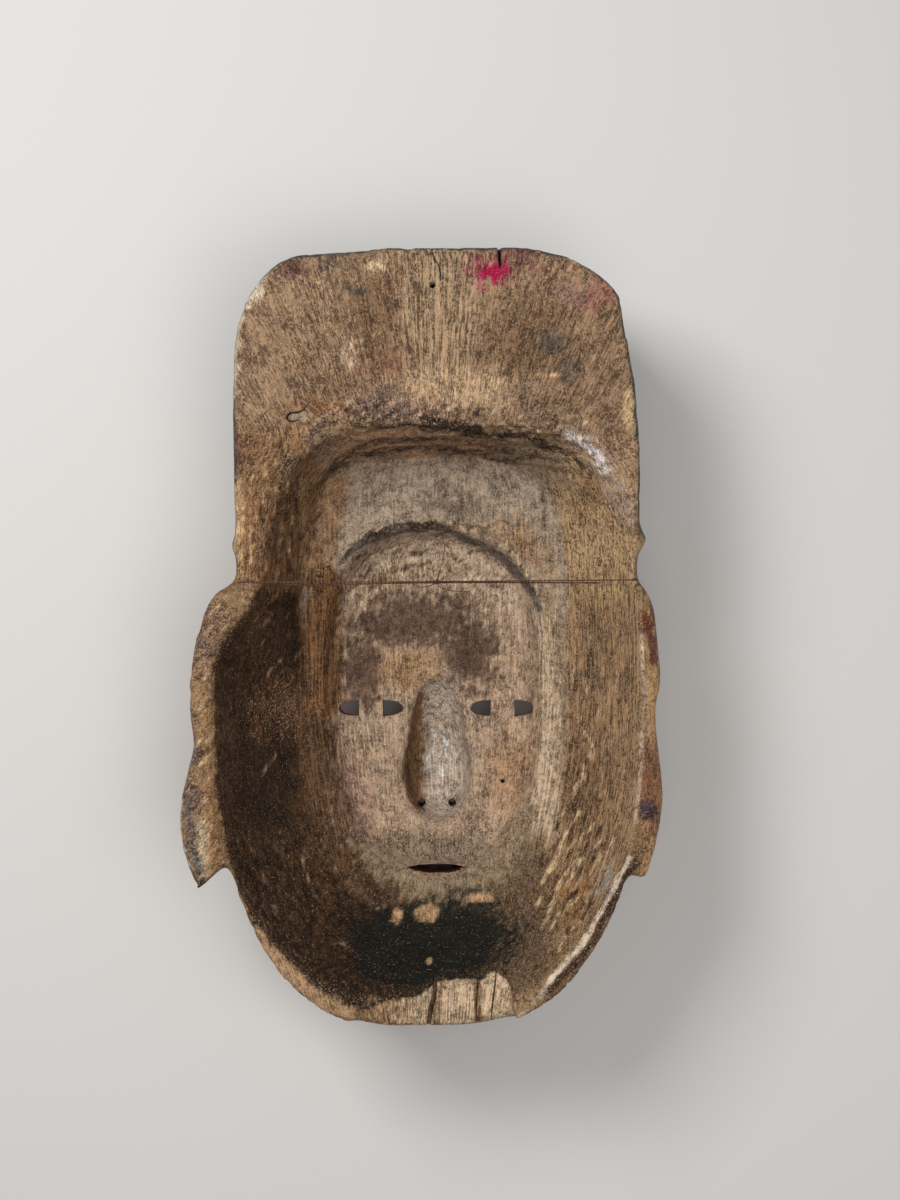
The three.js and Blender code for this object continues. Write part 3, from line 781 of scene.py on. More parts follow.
class Coat:
    """The colours and finishes painted on the points of the mask.

    Places are given as the camera sees them, in millimetres on the plane of the back, so that a
    stain is in the right place in the picture however deep the wood under it lies. Colours go
    from 0 to 255; strengths and finishes go from 0 to 1.
    """

    def __init__(self, surface, colour):
        count = len(surface.x)
        self.surface = surface
        self.tone = np.tile(np.array(colour, float), (count, 1))
        self.finish = {
            "strokes": np.full(count, 0.6),
            "shine": np.zeros(count),
            "flecks": np.full(count, 0.15),
            "crust": np.zeros(count),
            "streaks": np.full(count, 0.15),
        }
        nearness = VIEW_HEIGHT / (VIEW_HEIGHT + surface.level)
        self.x = VIEW_MIDDLE[0] + (surface.x - VIEW_MIDDLE[0]) * nearness
        self.y = VIEW_MIDDLE[1] + (surface.y - VIEW_MIDDLE[1]) * nearness
        self.wander_x = surface.lumps(13, 31) * 3.5 + surface.lumps(5, 32) * 2.0
        self.wander_y = surface.lumps(13, 33) * 3.5 + surface.lumps(5, 34) * 2.0
        self.brushing = surface.fibres(1.7, 38, 2.2) * 2.0 + surface.lumps(2.6, 39)

    def paint(self, colour, amount, **finish):
        """Covers part of the wood; where the paint thins out it breaks up along the grain."""
        amount = np.clip(amount + 2.2 * amount * (1 - amount) * self.brushing, 0, 1)
        self.tone += (np.array(colour, float) - self.tone) * amount[:, None]
        for name, value in finish.items():
            self.finish[name] = mix(self.finish[name], value, amount)

    def spot(self, middle, reach, soft=0.35, turn=0.0, ragged=1.0):
        """An ellipse with a ragged, more or less soft edge, turned by some degrees."""
        cos, sin = math.cos(math.radians(turn)), math.sin(math.radians(turn))
        dx = self.x + self.wander_x * ragged - middle[0]
        dy = self.y + self.wander_y * ragged - middle[1]
        far = np.hypot((dx * cos + dy * sin) / reach[0], (dy * cos - dx * sin) / reach[1])
        return 1 - step(1 - soft, 1 + soft, far)

    def line(self, route, width, soft=0.6, ragged=0.3):
        """A brush stroke of some width along a line."""
        x = self.x + self.wander_x * ragged
        y = self.y + self.wander_y * ragged
        near = np.full(len(x), np.inf)
        for (ax, ay), (bx, by) in zip(route, route[1:]):
            dx, dy = bx - ax, by - ay
            part = np.clip(((x - ax) * dx + (y - ay) * dy) / (dx * dx + dy * dy), 0, 1)
            near = np.minimum(near, np.hypot(x - ax - part * dx, y - ay - part * dy))
        return 1 - step((1 - soft) * width / 2, (1 + soft) * width / 2, near)

    def scratches(self, middle, reach, count, slant, length, width):
        """Short parallel strokes, spread evenly over an ellipse."""
        lean = math.radians(slant)
        marks = np.zeros(len(self.x))
        for i in range(count):
            turn = i * SPREADING_TURN
            far = math.sqrt((i + 0.5) / count)
            x = middle[0] + reach[0] * far * math.cos(turn)
            y = middle[1] + reach[1] * far * math.sin(turn)
            long = length * (0.7 + 0.3 * math.sin(5 * turn))
            tip = (x + long * math.sin(lean), y + long * math.cos(lean))
            marks = np.maximum(marks, self.line(((x, y), tip), width, 0.6, 0.15))
        return marks

    def dab(self, area, colour, middle, reach, soft, strength=1.0, turn=0.0, ragged=1.0, **finish):
        """Paints a spot on an area."""
        self.paint(colour, area * self.spot(middle, reach, soft, turn, ragged) * strength, **finish)

    def stroke(self, area, colour, route, width, strength=1.0, soft=0.6, ragged=0.3, **finish):
        """Paints a line on an area."""
        self.paint(colour, area * self.line(route, width, soft, ragged) * strength, **finish)

    def scratch(self, area, colour, strength, middle, reach, count, slant, length, width=1.6):
        """Paints many short strokes on an area."""
        self.paint(colour, area * self.scratches(middle, reach, count, slant, length, width) * strength)

    def save(self, mesh):
        """Keeps the colours, the finishes and the grain as attributes of the mesh."""
        colour = np.column_stack([linear(self.tone), self.finish["streaks"]])
        finish = np.column_stack([self.finish[name] for name in ("strokes", "shine", "flecks", "crust")])
        for name, values in (("tone", colour), ("finish", finish)):
            layer = mesh.color_attributes.new(name, "FLOAT_COLOR", "POINT")
            layer.data.foreach_set("color", np.clip(values, 0, 1).ravel())
        layer = mesh.attributes.new("grain", "FLOAT_VECTOR", "POINT")
        layer.data.foreach_set("vector", grain_of(self.surface).ravel())


def paint_front(coat):
    """Old lacquer over the front: a warm face, a dark hat with gilt trim."""
    s = coat.surface
    face = s.front * (1 - step(BRIM_LOW - 2, BRIM_LOW, s.y))
    hat = s.front * step(BRIM_LOW - 2, BRIM_LOW, s.y)
    coat.paint(TONES["face_lacquer"], face, strokes=0.3, shine=0.8, flecks=0.0)
    coat.paint(TONES["hat_lacquer"], hat, strokes=0.25, shine=0.75, flecks=0.0)
    paint_features(coat, face)
    worn = step(0.1, 0.45, s.lumps(22, 41) + 0.5 * s.lumps(6, 42))
    coat.paint(TONES["worn_front"], s.front * worn * 0.6, strokes=0.7, shine=0.15, flecks=0.5)
    paint_gilt(coat, hat)


def paint_features(coat, face):
    """Brows, eyes and lips."""
    s = coat.surface
    side = np.abs(s.x)
    brow = bell(s.y - (BROW + 5 - 0.006 * (side - EYE_WIDTH * 0.8) ** 2), 4.5)
    brow *= step(5, 12, side) * (1 - step(44, 56, side))
    coat.paint(TONES["brow"], face * brow, strokes=0.7)
    eye = ((side - EYE_WIDTH) / (EYE_WIDTH / 2)) ** 2 + ((s.y - EYE_LINE) / (EYE_HEIGHT / 2)) ** 2
    coat.paint(TONES["eye_white"], face * (1 - step(0.7, 0.95, eye)))
    iris = np.hypot(side - EYE_WIDTH, s.y - EYE_LINE)
    coat.paint(TONES["iris"], face * (1 - step(5, 6.4, iris)))
    corners = step(0.05, 0.35, 1 - np.clip((s.x / (MOUTH_WIDTH / 2)) ** 2, 0, 1))
    lips = np.maximum(bell(s.y - MOUTH - 4, 4.5), bell(s.y - MOUTH + 5, 5))
    coat.paint(TONES["lips"], face * lips * corners)


def paint_gilt(coat, hat):
    """Gilt rims, rosette and studs on the brim, with painted shade in the grooves between petals and beads.
    """
    s = coat.surface
    radius = ROSETTE["radius"]
    rosette = np.hypot(s.x, s.y - ROSETTE["y"])
    studs = np.hypot(np.abs(s.x) - STUD["x"], s.y - STUD["y"])
    gilt = np.maximum.reduce([
        bell(s.y - BRIM_LOW - 3, 2.5),
        bell(s.y - BRIM_HIGH + 2, 2.5),
        1 - step(radius, radius + 1, rosette),
        1 - step(STUD["radius"], STUD["radius"] + 1, studs),
    ])
    coat.paint(TONES["gilt"], hat * gilt, shine=0.8)
    between_petals = 1 - step(0.05, 0.4, np.cos(np.arctan2(s.x, s.y - ROSETTE["y"]) * PETALS / 2) ** 2)
    between_beads = 1 - step(0.05, 0.35, np.cos(s.x * math.pi / BEAD) ** 2)
    rows = np.maximum(bell(s.y - BRIM_LOW - 4, 3), bell(s.y - BRIM_HIGH + 4, 3))
    groove = np.maximum.reduce([
        between_petals * bell(rosette - radius * 0.68, radius * 0.3),
        bell(rosette - radius * 0.32, 1.4),
        between_beads * rows * step(radius, radius + 2, rosette),
    ])
    # Painted shade in the grooves between petals, round the rosette's heart and between beads.
    coat.paint(TONES["groove"], hat * groove * 0.85, shine=0.2)


def paint_hat_back(coat):
    """Bare brown wood of the hat's back: streaked in the middle, cross-hatched beside it."""
    s = coat.surface
    hat = s.back * step(0.99, 1.02, s.bowl) * step(60, 75, s.y)
    coat.paint(TONES["hat"], hat, strokes=1.0, flecks=0.35, streaks=0.35)
    coat.dab(hat, (124, 98, 75), (50, 136), (26, 30), 0.7)
    coat.dab(hat, (140, 113, 89), (76, 120), (16, 36), 0.6)
    coat.dab(hat, (122, 96, 72), (-28, 150), (12, 22), 0.6)
    column = band(-15, 17, coat.x, 4) * step(104, 116, coat.y)
    coat.paint(TONES["hat_middle"], hat * column, strokes=0.8, streaks=1.0)
    coat.dab(hat, (184, 154, 123), (14, 114), (34, 9), 0.5, strokes=0.9, flecks=0.5, streaks=0.4)
    coat.dab(hat, (136, 100, 68), (-48, 103), (20, 7), 0.6, strokes=0.6)
    coat.dab(hat, (126, 86, 70), (-24, 126), (9, 7), 0.7, 0.6)
    coat.dab(hat, (112, 82, 72), (-65, 169), (7, 4), 0.7)
    coat.dab(hat, (104, 86, 76), (-48, 172), (9, 4), 0.7, 0.7)
    coat.dab(hat, (140, 108, 94), (68, 159), (14, 7), 0.7, strokes=0.5)
    coat.dab(hat, (142, 96, 82), (77, 157), (6, 6), 0.6, 0.8)
    coat.dab(hat, (196, 168, 148), (-41, 132), (3, 5.5), 0.6, 0.7)
    coat.dab(hat, (204, 176, 144), (-27, 171), (4.5, 2.6), 0.6, ragged=0.5)
    grey_stains = (
        ((-36, 160), (4.6, 2.6), 0.9),
        ((53.5, 136), (7.6, 5.0), 0.85),
        ((60, 123), (5.4, 5.2), 0.65),
    )
    for middle, reach, strength in grey_stains:
        coat.dab(hat, (72, 66, 60), middle, reach, 0.6, strength, ragged=0.4, strokes=0.7)
    pale_scrapes = (
        ((-43, 137.5), (-35, 136.8), (-27, 139.5)),
        ((46.6, 121), (51, 120.2), (56, 121.5)),
        ((-55, 164), (-51, 162)),
    )
    for route in pale_scrapes:
        coat.stroke(hat, (196, 164, 126), route, 1.6, 0.7)


def paint_hat_stains(coat):
    """Colour spilt on the hat's back, and the crust of dirt above the hollow."""
    s = coat.surface
    hat = s.back * step(0.975, 1.0, s.bowl) * step(60, 75, s.y)
    coat.dab(hat, (112, 70, 68), (37, 174), (12, 5.5), 0.7, 0.8)
    coat.dab(hat, (160, 84, 92), (25, 169), (9, 7), 0.6, 0.6)
    coat.dab(hat, TONES["spilt_dye"], (26.2, 168), (5.2, 4), 0.55, ragged=0.6, strokes=0.5)
    crust = np.maximum.reduce([
        coat.spot((-24, 106), (15, 7), 0.6),
        coat.spot((-52, 92), (10, 5), 0.5, turn=35),
        coat.spot((-66, 78), (5, 10), 0.6, turn=-30),
        coat.spot((50, 100), (17, 7), 0.6, turn=-25),
        coat.spot((42, 110), (12, 7), 0.8) * 0.7,
        coat.spot((62, 88), (5, 8), 0.6, turn=35),
    ])
    coat.paint((118, 94, 76), hat * crust * 0.85, crust=1.0, strokes=0.5, flecks=0.7)
    coat.dab(hat, (106, 84, 78), (-22, 107), (14, 6), 0.7, 0.8)
    coat.dab(hat, (150, 120, 92), (-44, 98.5), (5, 2.5), 0.6, flecks=0.8)
    coat.scratch(hat, (66, 48, 42), 0.7, (-14, 103.5), (38, 3.5), 30, 75, 3.0, 1.5)
    coat.scratch(hat, (206, 168, 144), 0.7, (-16, 106), (36, 5), 34, 60, 1.8, 1.4)
    coat.scratch(hat, (206, 174, 142), 0.65, (48, 99), (20, 5), 22, 100, 1.8, 1.4)
    coat.scratch(hat, (70, 50, 42), 0.6, (48, 97), (20, 4), 16, 110, 2.4, 1.5)
    coat.dab(hat, (148, 132, 116), (-61.5, 101.8), (5, 2.4), 0.4, 0.8, turn=12, ragged=0.2, strokes=0.3)
    yellow = np.maximum(
        coat.spot((89.5, 105), (2.8, 9), 0.4, ragged=0.6),
        coat.spot((91, 94.5), (2.6, 4.5), 0.4, ragged=0.6),
    )
    coat.paint((194, 164, 122), hat * yellow, strokes=0.7, flecks=0.9, crust=0.6)
    beside = s.back * step(1.0, 1.03, s.bowl)
    coat.dab(beside, (160, 131, 103), (88, 76), (7, 20), 0.4)


def paint_hat_edges(coat):
    """The dark lacquer that shows as a thin line along the hat's edge, and painted highlights along it."""
    s = coat.surface
    hat = s.back * step(1.02, 1.05, s.bowl)
    turning = hat * step(28, 40, s.y) * (1 - step(0.6, 0.86, s.up))
    coat.paint(TONES["hat_edge"], turning * 0.85, strokes=0.4, shine=0.45)
    # Pale strokes along the edges and corners: painted highlights.
    left = ((-80, 167), (-85, 156), (-89, 146), (-91.5, 128), (-92, 112))
    coat.stroke(turning, (206, 196, 180), left, 7, 0.8, soft=0.8, shine=0.5, flecks=0.9)
    coat.stroke(turning, (186, 160, 122), ((60, 172), (74, 166), (83, 150)), 4, 0.7, soft=0.8)
    right = ((82.5, 146), (85, 134), (87, 126))
    coat.stroke(turning, (188, 176, 170), right, 3, 0.8, soft=0.8, shine=0.6)
    corner = ((-81, 163), (-85.5, 154))
    coat.stroke(hat, (214, 202, 184), corner, 5.5, 0.8, soft=0.7, ragged=0.8, flecks=1.0, crust=0.6)
    side = ((-89.5, 147), (-91, 130), (-91.5, 112))
    coat.stroke(hat, (200, 180, 152), side, 3.0, 0.7, soft=0.8, ragged=0.8, flecks=1.0)
    low_side = ((-90, 74), (-89.5, 58), (-90.5, 40))
    coat.stroke(hat, (196, 166, 128), low_side, 3.0, 0.6, soft=0.8, ragged=0.8, flecks=0.8)
    knob = 1 - step(3.5, 5.5, np.hypot(np.abs(s.x) - 92, s.y - 44))
    coat.paint((170, 140, 104), s.back * knob * step(89, 91, np.abs(s.x)), flecks=0.5)


def paint_left_strip(coat):
    """The rubbed wood between the hat's left side and the hollow."""
    s = coat.surface
    strip = s.back * (1 - step(-60, -52, s.x)) * band(24, 96, s.y, 6) * (1 - step(40, 46, s.level))
    coat.paint(TONES["left_strip"], strip, strokes=1.0, streaks=0.5, crust=0.2, flecks=0.4)
    coat.paint((126, 94, 67), strip * step(-80, -66, coat.x) * (1 - step(76, 92, coat.y)), streaks=0.9)
    dark_furrows = (
        ((-70, 72), (-73, 50), (-69, 28)),
        ((-65, 78), (-67, 55), (-66, 30)),
        ((-62, 66), (-62.5, 45), (-62, 28)),
    )
    for route in dark_furrows:
        coat.stroke(strip, (106, 78, 57), route, 3.4, 0.5, soft=0.9, ragged=0.8, streaks=1.0)
    coat.stroke(strip, (150, 124, 90), ((-60.5, 73), (-60, 45), (-61, 18)), 2.6, 0.7, soft=0.8)
    coat.dab(strip, (98, 62, 58), (-89.5, 85), (3, 6), 0.6, 0.7)
    coat.scratch(strip, (196, 160, 122), 0.6, (-76, 58), (15, 34), 26, 4, 8, 1.5)
    coat.scratch(strip, (72, 50, 36), 0.6, (-70, 52), (10, 32), 20, -6, 9)
    coat.stroke(strip, (178, 144, 104), ((-90.5, 68), (-89, 50), (-90, 30)), 4, 0.8, flecks=0.6)


def side_rims(s):
    """The flat rims beside the hollow, below the hat, with the ears."""
    return s.back * step(0.985, 1.0, s.bowl) * (1 - step(20, 30, s.y))


def paint_left_rim(coat):
    """The left ear with its dark and shiny places, a painted highlight down its outer edge, and the
    blackened rim below it.
    """
    rim = side_rims(coat.surface)
    coat.paint(TONES["rim"], rim, strokes=1.0, flecks=0.7)
    coat.dab(rim, (128, 100, 82), (-106, 4), (9, 14), 0.5, crust=0.5)
    dark_spots = (
        ((-103.3, 15), (3, 3)), ((-108, -2), (3, 6)),
        ((-112, -73), (4, 6)), ((-109, -52), (3, 5)),
    )
    for middle, reach in dark_spots:
        coat.dab(rim, (86, 72, 74), middle, reach, 0.7, 0.7)
    coat.dab(rim, (172, 96, 54), (-101.9, -11.4), (2.0, 4.5), 0.6, 0.8)
    coat.stroke(rim, (146, 106, 70), ((-103, -26), (-104, -60), (-102, -100)), 6, 0.6, soft=0.7)
    coat.stroke(rim, (196, 176, 146), ((-107, -84), (-106, -112)), 5, 0.8, soft=0.8, strokes=1.0)
    coat.stroke(rim, (88, 84, 88), ((-113, -78), (-111, -96), (-108, -106)), 4, 0.8, soft=0.8, shine=0.5)
    # Painted highlight down the ear's outer edge.
    coat.stroke(rim, (208, 200, 184), ((-116.5, -70), (-117, -88), (-113, -104)), 1.6, 0.8, shine=0.6)
    coat.scratch(rim, (204, 178, 144), 0.65, (-105, -28), (7, 48), 16, 38, 7)
    coat.scratch(rim, (84, 62, 48), 0.6, (-106, -30), (7, 50), 12, 38, 6, 1.8)
    low = rim * (1 - step(-116, -106, coat.y)) * (1 - step(-36, -26, coat.x))
    coat.paint((52, 38, 27), low, strokes=0.6, crust=0.4)
    outline = ((-97.5, -113), (-92, -126), (-81, -141), (-70, -153), (-52, -167), (-33, -177))
    coat.stroke(low, (178, 144, 110), outline, 10, soft=0.5, ragged=0.9, strokes=1.0, crust=0.4, flecks=0.6)


def paint_right_rim(coat):
    """The right ear, with worn lacquer on its edge and a polished line beside the hollow."""
    s = coat.surface
    rim = side_rims(s)
    coat.paint((204, 160, 114), rim * step(95, 97, coat.x), strokes=0.9, streaks=0.5, shine=0.3, flecks=0.8)
    rust = ((97.5, 11), (98.5, 0), (99, -9))
    coat.stroke(rim, (116, 62, 38), rust, 4.0, soft=0.8, ragged=0.9, strokes=0.7, shine=0.6, flecks=0.5)
    dark = ((99, 18), (102.5, 4), (103.5, -20), (102, -50))
    coat.stroke(rim, (70, 48, 48), dark, 3.0, 0.85, soft=0.7, shine=0.6)
    coat.dab(rim, (150, 104, 76), (99, -70), (7, 20), 0.5, flecks=0.5)
    coat.stroke(rim, (122, 66, 42), ((105.5, -72), (106.5, -90), (101, -108)), 3.0, 0.7, soft=0.7, shine=0.5)
    coat.dab(rim, (70, 58, 66), (96.5, -77.5), (4.5, 4.5), 0.6, 0.85, ragged=0.5)
    polished = ((93.5, 6), (95, -20), (94, -55), (91, -84))
    coat.stroke(s.back * step(0.95, 0.98, s.bowl), (190, 166, 144), polished, 2.4, 0.8, shine=0.35)


def paint_low_rim(coat):
    """The lower right rim: a shiny inner edge with a painted highlight along it, inside a dark lacquered
    one.
    """
    s = coat.surface
    rim = s.back * step(0.955, 0.975, s.bowl) * step(30, 40, s.x) * (1 - step(-92, -86, s.y))
    edge = ((88.5, -100.1), (78.1, -119.1), (71.2, -132.5), (57.2, -150.7), (48.8, -161.1), (39, -172.1))
    outside = [(x + 2.6, y - 1.9) for x, y in edge]
    lacquer = {"strokes": 0.6, "crust": 1.0, "shine": 0.2, "flecks": 0.6}
    coat.stroke(rim, (74, 50, 38), outside, 3.6, soft=0.5, ragged=0.5, **lacquer)
    # Painted highlight along the rim's inner edge.
    coat.stroke(rim, (206, 190, 172), edge, 2.6, ragged=0.25, strokes=0.4, shine=0.85)
    coat.dab(s.back, (146, 140, 134), (77, -110), (3.4, 7), 0.6, 0.8, turn=-30, shine=0.6)
    coat.dab(rim, (176, 144, 108), (43, -168), (9, 5), 0.6, 0.8, turn=40)


def paint_bowl(coat):
    """The hollow's plain wood, and its right wall, worn brown, with patches of painted shade down it."""
    s = coat.surface
    inside = s.back * (1 - step(0.98, 1.0, s.bowl))
    wall = inside * step(0.98, 1.06, s.floor)
    coat.paint(TONES["bowl"], inside, strokes=0.55, flecks=0.2, streaks=0.3)
    coat.paint(TONES["right_wall"], wall * step(20, 50, s.x), strokes=0.9, flecks=0.6, streaks=0.9)
    coat.paint((146, 120, 92), wall * step(80, 90, coat.x) * (1 - step(20, 32, s.y)) * 0.7)
    # Three darker patches down the right wall: painted shade.
    coat.dab(wall, (104, 84, 66), (70, -8), (7, 16), 0.8, 0.6)
    coat.dab(wall, (110, 84, 60), (66, -66), (12, 26), 0.8, 0.6)
    coat.dab(wall, (136, 96, 60), (62, -118), (14, 12), 0.8, 0.6)
    high_right = wall * step(54, 60, coat.x) * step(24, 34, coat.y)
    coat.paint((182, 150, 114), high_right, strokes=1.0, flecks=1.0, crust=0.9)
    coat.dab(wall, (124, 94, 60), (71, 66), (8, 12), 0.8, 0.7, crust=0.4)
    coat.dab(wall, (186, 156, 112), (73, 57), (4.5, 3.5), 0.6, 0.7)
    coat.dab(wall, (182, 156, 112), (80, 22), (6, 4), 0.7, 0.7)
    coat.dab(wall, (128, 114, 96), (44, 82), (14, 7), 0.7, strokes=0.4)
    pale = band(44, 56, coat.x, 4) * (1 - step(50, 70, coat.y)) * step(-112, -84, coat.y)
    coat.paint((180, 158, 133), inside * pale, streaks=0.6, flecks=0.4)


def hollow_areas(s):
    """The hollow up to its very rim, and its walls alone."""
    inside = s.back * (1 - step(0.995, 1.015, s.bowl))
    return inside, inside * step(0.98, 1.06, s.floor)


def paint_left_wall(coat):
    """The left wall, stained and painted with shade to nearly black, and the brown wood at its foot."""
    inside, wall = hollow_areas(coat.surface)
    below_cord = 1 - step(20, 34, coat.y + coat.wander_y)
    brown = inside * (1 - step(-54, -44, coat.x + coat.wander_x * 0.5)) * below_cord
    coat.paint(TONES["wall_foot"], brown, strokes=0.7, flecks=0.2, streaks=0.8)
    foot = ((-58, 40), (-60, 16), (-60, -4))
    coat.stroke(inside, (96, 70, 48), foot, 10, soft=0.5, strokes=0.7, flecks=0.2, streaks=0.8)
    left = wall * (1 - step(-68, -52, coat.x + coat.wander_x)) * below_cord
    # Stain deepened with painted shade over the left wall, darkest in a few dabs.
    coat.paint(TONES["left_wall_stain_and_shade"], left, strokes=0.8, flecks=0.1, streaks=0.4, crust=0.12)
    coat.dab(left, (50, 37, 27), (-66, 0), (6, 20), 0.7, strokes=0.8)
    coat.dab(left, (50, 36, 25), (-76, -66), (14, 22), 0.7)
    coat.dab(left, (88, 62, 43), (-70, -31), (15, 13), 0.8, flecks=0.8, crust=0.5)
    coat.dab(left, (84, 60, 43), (-82, 6), (10, 16), 0.8, 0.9, flecks=0.3)
    coat.dab(left, (72, 52, 40), (-94, -40), (4, 40), 0.8, 0.7)


def paint_low_wall(coat):
    """The lower wall, the blackest of all, and the wood between it and the inside of the face."""
    inside, wall = hollow_areas(coat.surface)
    low = wall * (1 - step(-100, -84, coat.y)) * (1 - step(24, 36, coat.x + coat.wander_x))
    coat.paint(TONES["low_wall"], low, strokes=0.8, flecks=0.1, streaks=0.3, crust=0.12)
    coat.dab(wall, (50, 33, 18), (-66, -118), (18, 14), 0.8, 0.7, flecks=0.25)
    coat.dab(wall, (72, 50, 32), (-50, -88), (13, 24), 0.8, strokes=0.9, streaks=0.5)
    between = inside * (1 - coat.spot((2, -74), (46, 45), 0.14)) * (1 - step(-98, -82, coat.y))
    left_part = between * (1 - step(-14, 16, coat.x)) * (1 - 0.6 * low)
    coat.paint((80, 58, 40), left_part, strokes=0.8, flecks=0.3)
    right_part = between * step(6, 26, coat.x) * (1 - step(46, 60, coat.x))
    coat.paint((108, 86, 66), right_part, strokes=0.9, flecks=0.5)


def paint_wall_marks(coat):
    """Dashes and scratches left by the gouge, pale on the dark walls and both on the brown one."""
    wall = hollow_areas(coat.surface)[1]
    left_dashes = (
        ((-76, 18), (-70, 22)), ((-79, -62), (-74, -52)), ((-46, -137), (-33, -146)),
        ((-62, -96), (-58, -110)), ((-80, 5), (-75, 12)),
    )
    for route in left_dashes:
        coat.stroke(wall, (150, 122, 96), route, 1.4, 0.7)
    right_dashes = (
        ((60, -112), (66, -98)), ((52, -106), (60, -88)), ((63, -70), (71, -52)),
        ((72, -48), (68, -42)), ((48, -132), (56, -112)),
    )
    for route in right_dashes:
        coat.stroke(wall, (206, 180, 146), route, 1.8, 0.8)
    coat.scratch(wall, (204, 176, 140), 0.75, (62, -112), (18, 32), 30, 28, 9)
    coat.scratch(wall, (190, 162, 128), 0.65, (72, -34), (13, 46), 14, 12, 6, 1.4)
    coat.scratch(wall, (72, 52, 36), 0.6, (66, -60), (14, 56), 14, 8, 9)
    coat.scratch(wall, (62, 44, 30), 0.6, (62, -108), (16, 30), 20, 26, 10)
    coat.scratch(wall, (146, 116, 88), 0.6, (-72, 0), (13, 24), 12, 24, 4, 1.2)
    coat.scratch(wall, (128, 100, 76), 0.5, (-66, -108), (18, 22), 10, -30, 5, 1.2)


def paint_top_wall(coat):
    """The short steep wall under the lip, lifted with painted light, between two broken dark lines of
    painted shade and crust.
    """
    s = coat.surface
    under = s.back * step(4, 8, s.level) * step(60, 72, coat.y) * step(0.99, 1.05, s.floor)
    # Painted light: the wall is painted lighter than the wood, against the shade of the lip over it.
    coat.paint(TONES["top_wall"], under * band(-52, 30, coat.x, 8), strokes=0.8, streaks=0.3, crust=0.4)
    coat.paint((142, 121, 100), under * band(30, 60, coat.x, 8) * 0.8, strokes=0.6)
    broken = step(-0.45, 0.05, s.lumps(6, 35))
    near = s.back * step(0.9, 0.93, s.bowl)
    # Painted shade, with crust, along the lip's edge.
    coat.stroke(near * (0.35 + 0.6 * broken), (50, 36, 28), LIP_LINE, 2.8, ragged=0.7, crust=0.8)
    above = [(x, y + 2.6) for x, y in LIP_LINE]
    crumbly = {"soft": 0.8, "ragged": 0.9, "flecks": 1.0, "crust": 1.0}
    coat.stroke(near * broken, (176, 146, 122), above, 3.0, 0.8, **crumbly)
    # Deeper painted shade under the middle of the lip.
    coat.stroke(near, (52, 40, 32), ((-5, 98.5), (8, 98), (19, 95)), 5.5, 0.85, soft=0.5)
    # Painted shade, with crust, along the wall's foot.
    deep = s.back * step(10, 16, s.level)
    partly = 0.3 + 0.5 * broken
    coat.stroke(deep * partly, (62, 48, 38), TOP_WALL_FOOT, 3.0, soft=0.7, ragged=0.5, crust=0.6)
    ridge = [(x * 0.96, y + 4.5) for x, y in TOP_WALL_FOOT[2:8]]
    coat.stroke(deep, (70, 52, 42), ridge, 2.2, 0.6, soft=0.8, ragged=0.5)


def paint_shelf(coat):
    """The greyish shelf above the arch, with its orange-brown ends."""
    s = coat.surface
    floor = s.back * (1 - step(1.0, 1.06, s.floor)) * step(30, 38, s.level)
    shelf = floor * step(0.98, 1.0, s.oval) * step(0, 16, s.y)
    coat.paint(TONES["shelf"], shelf, strokes=0.45, flecks=0.35, streaks=0.25)
    coat.dab(shelf, (110, 95, 82), (8, 61), (12, 6), 0.8, 0.8)
    deep = s.back * step(26, 34, s.level)
    wedge = ((-47, 70), (-50, 52), (-55, 36))
    left_of_shelf = deep * (1 - step(-44, -34, coat.x - 0.35 * (coat.y - 50)))
    smooth_wood = {"strokes": 0.4, "streaks": 0.3, "flecks": 0.1}
    coat.stroke(left_of_shelf, TONES["wedge"], wedge, 15, soft=0.35, ragged=0.6, **smooth_wood)
    beside = [(x - 7.5, y) for x, y in wedge]
    coat.stroke(deep, (76, 54, 38), beside, 4.5, 0.75, soft=0.8, ragged=0.8, streaks=0.9)
    coat.dab(shelf, (152, 120, 90), (34, 42), (13, 12), 0.9, 0.8, turn=-30, streaks=0.8)
    coat.stroke(shelf, (88, 76, 66), ((48, 74), (48.5, 62), (50, 50)), 1.8, 0.7)
    coat.dab(floor, (146, 122, 94), (53, 20), (4, 22), 0.6, 0.6)


def paint_trough(coat):
    """The brown trough down the left side of the inside of the face."""
    deep = coat.surface.back * step(30, 36, coat.surface.level)
    upper = ((-51, 26), (-51.5, 0), (-51.5, -28))
    lower = ((-53, -44), (-50, -70), (-43, -96))
    coat.stroke(deep, TONES["trough"], upper, 15, soft=0.35, ragged=0.5, strokes=0.6, streaks=1.0)
    coat.stroke(deep, (92, 67, 46), lower, 14, 0.8, soft=0.5, ragged=0.5, streaks=0.7)


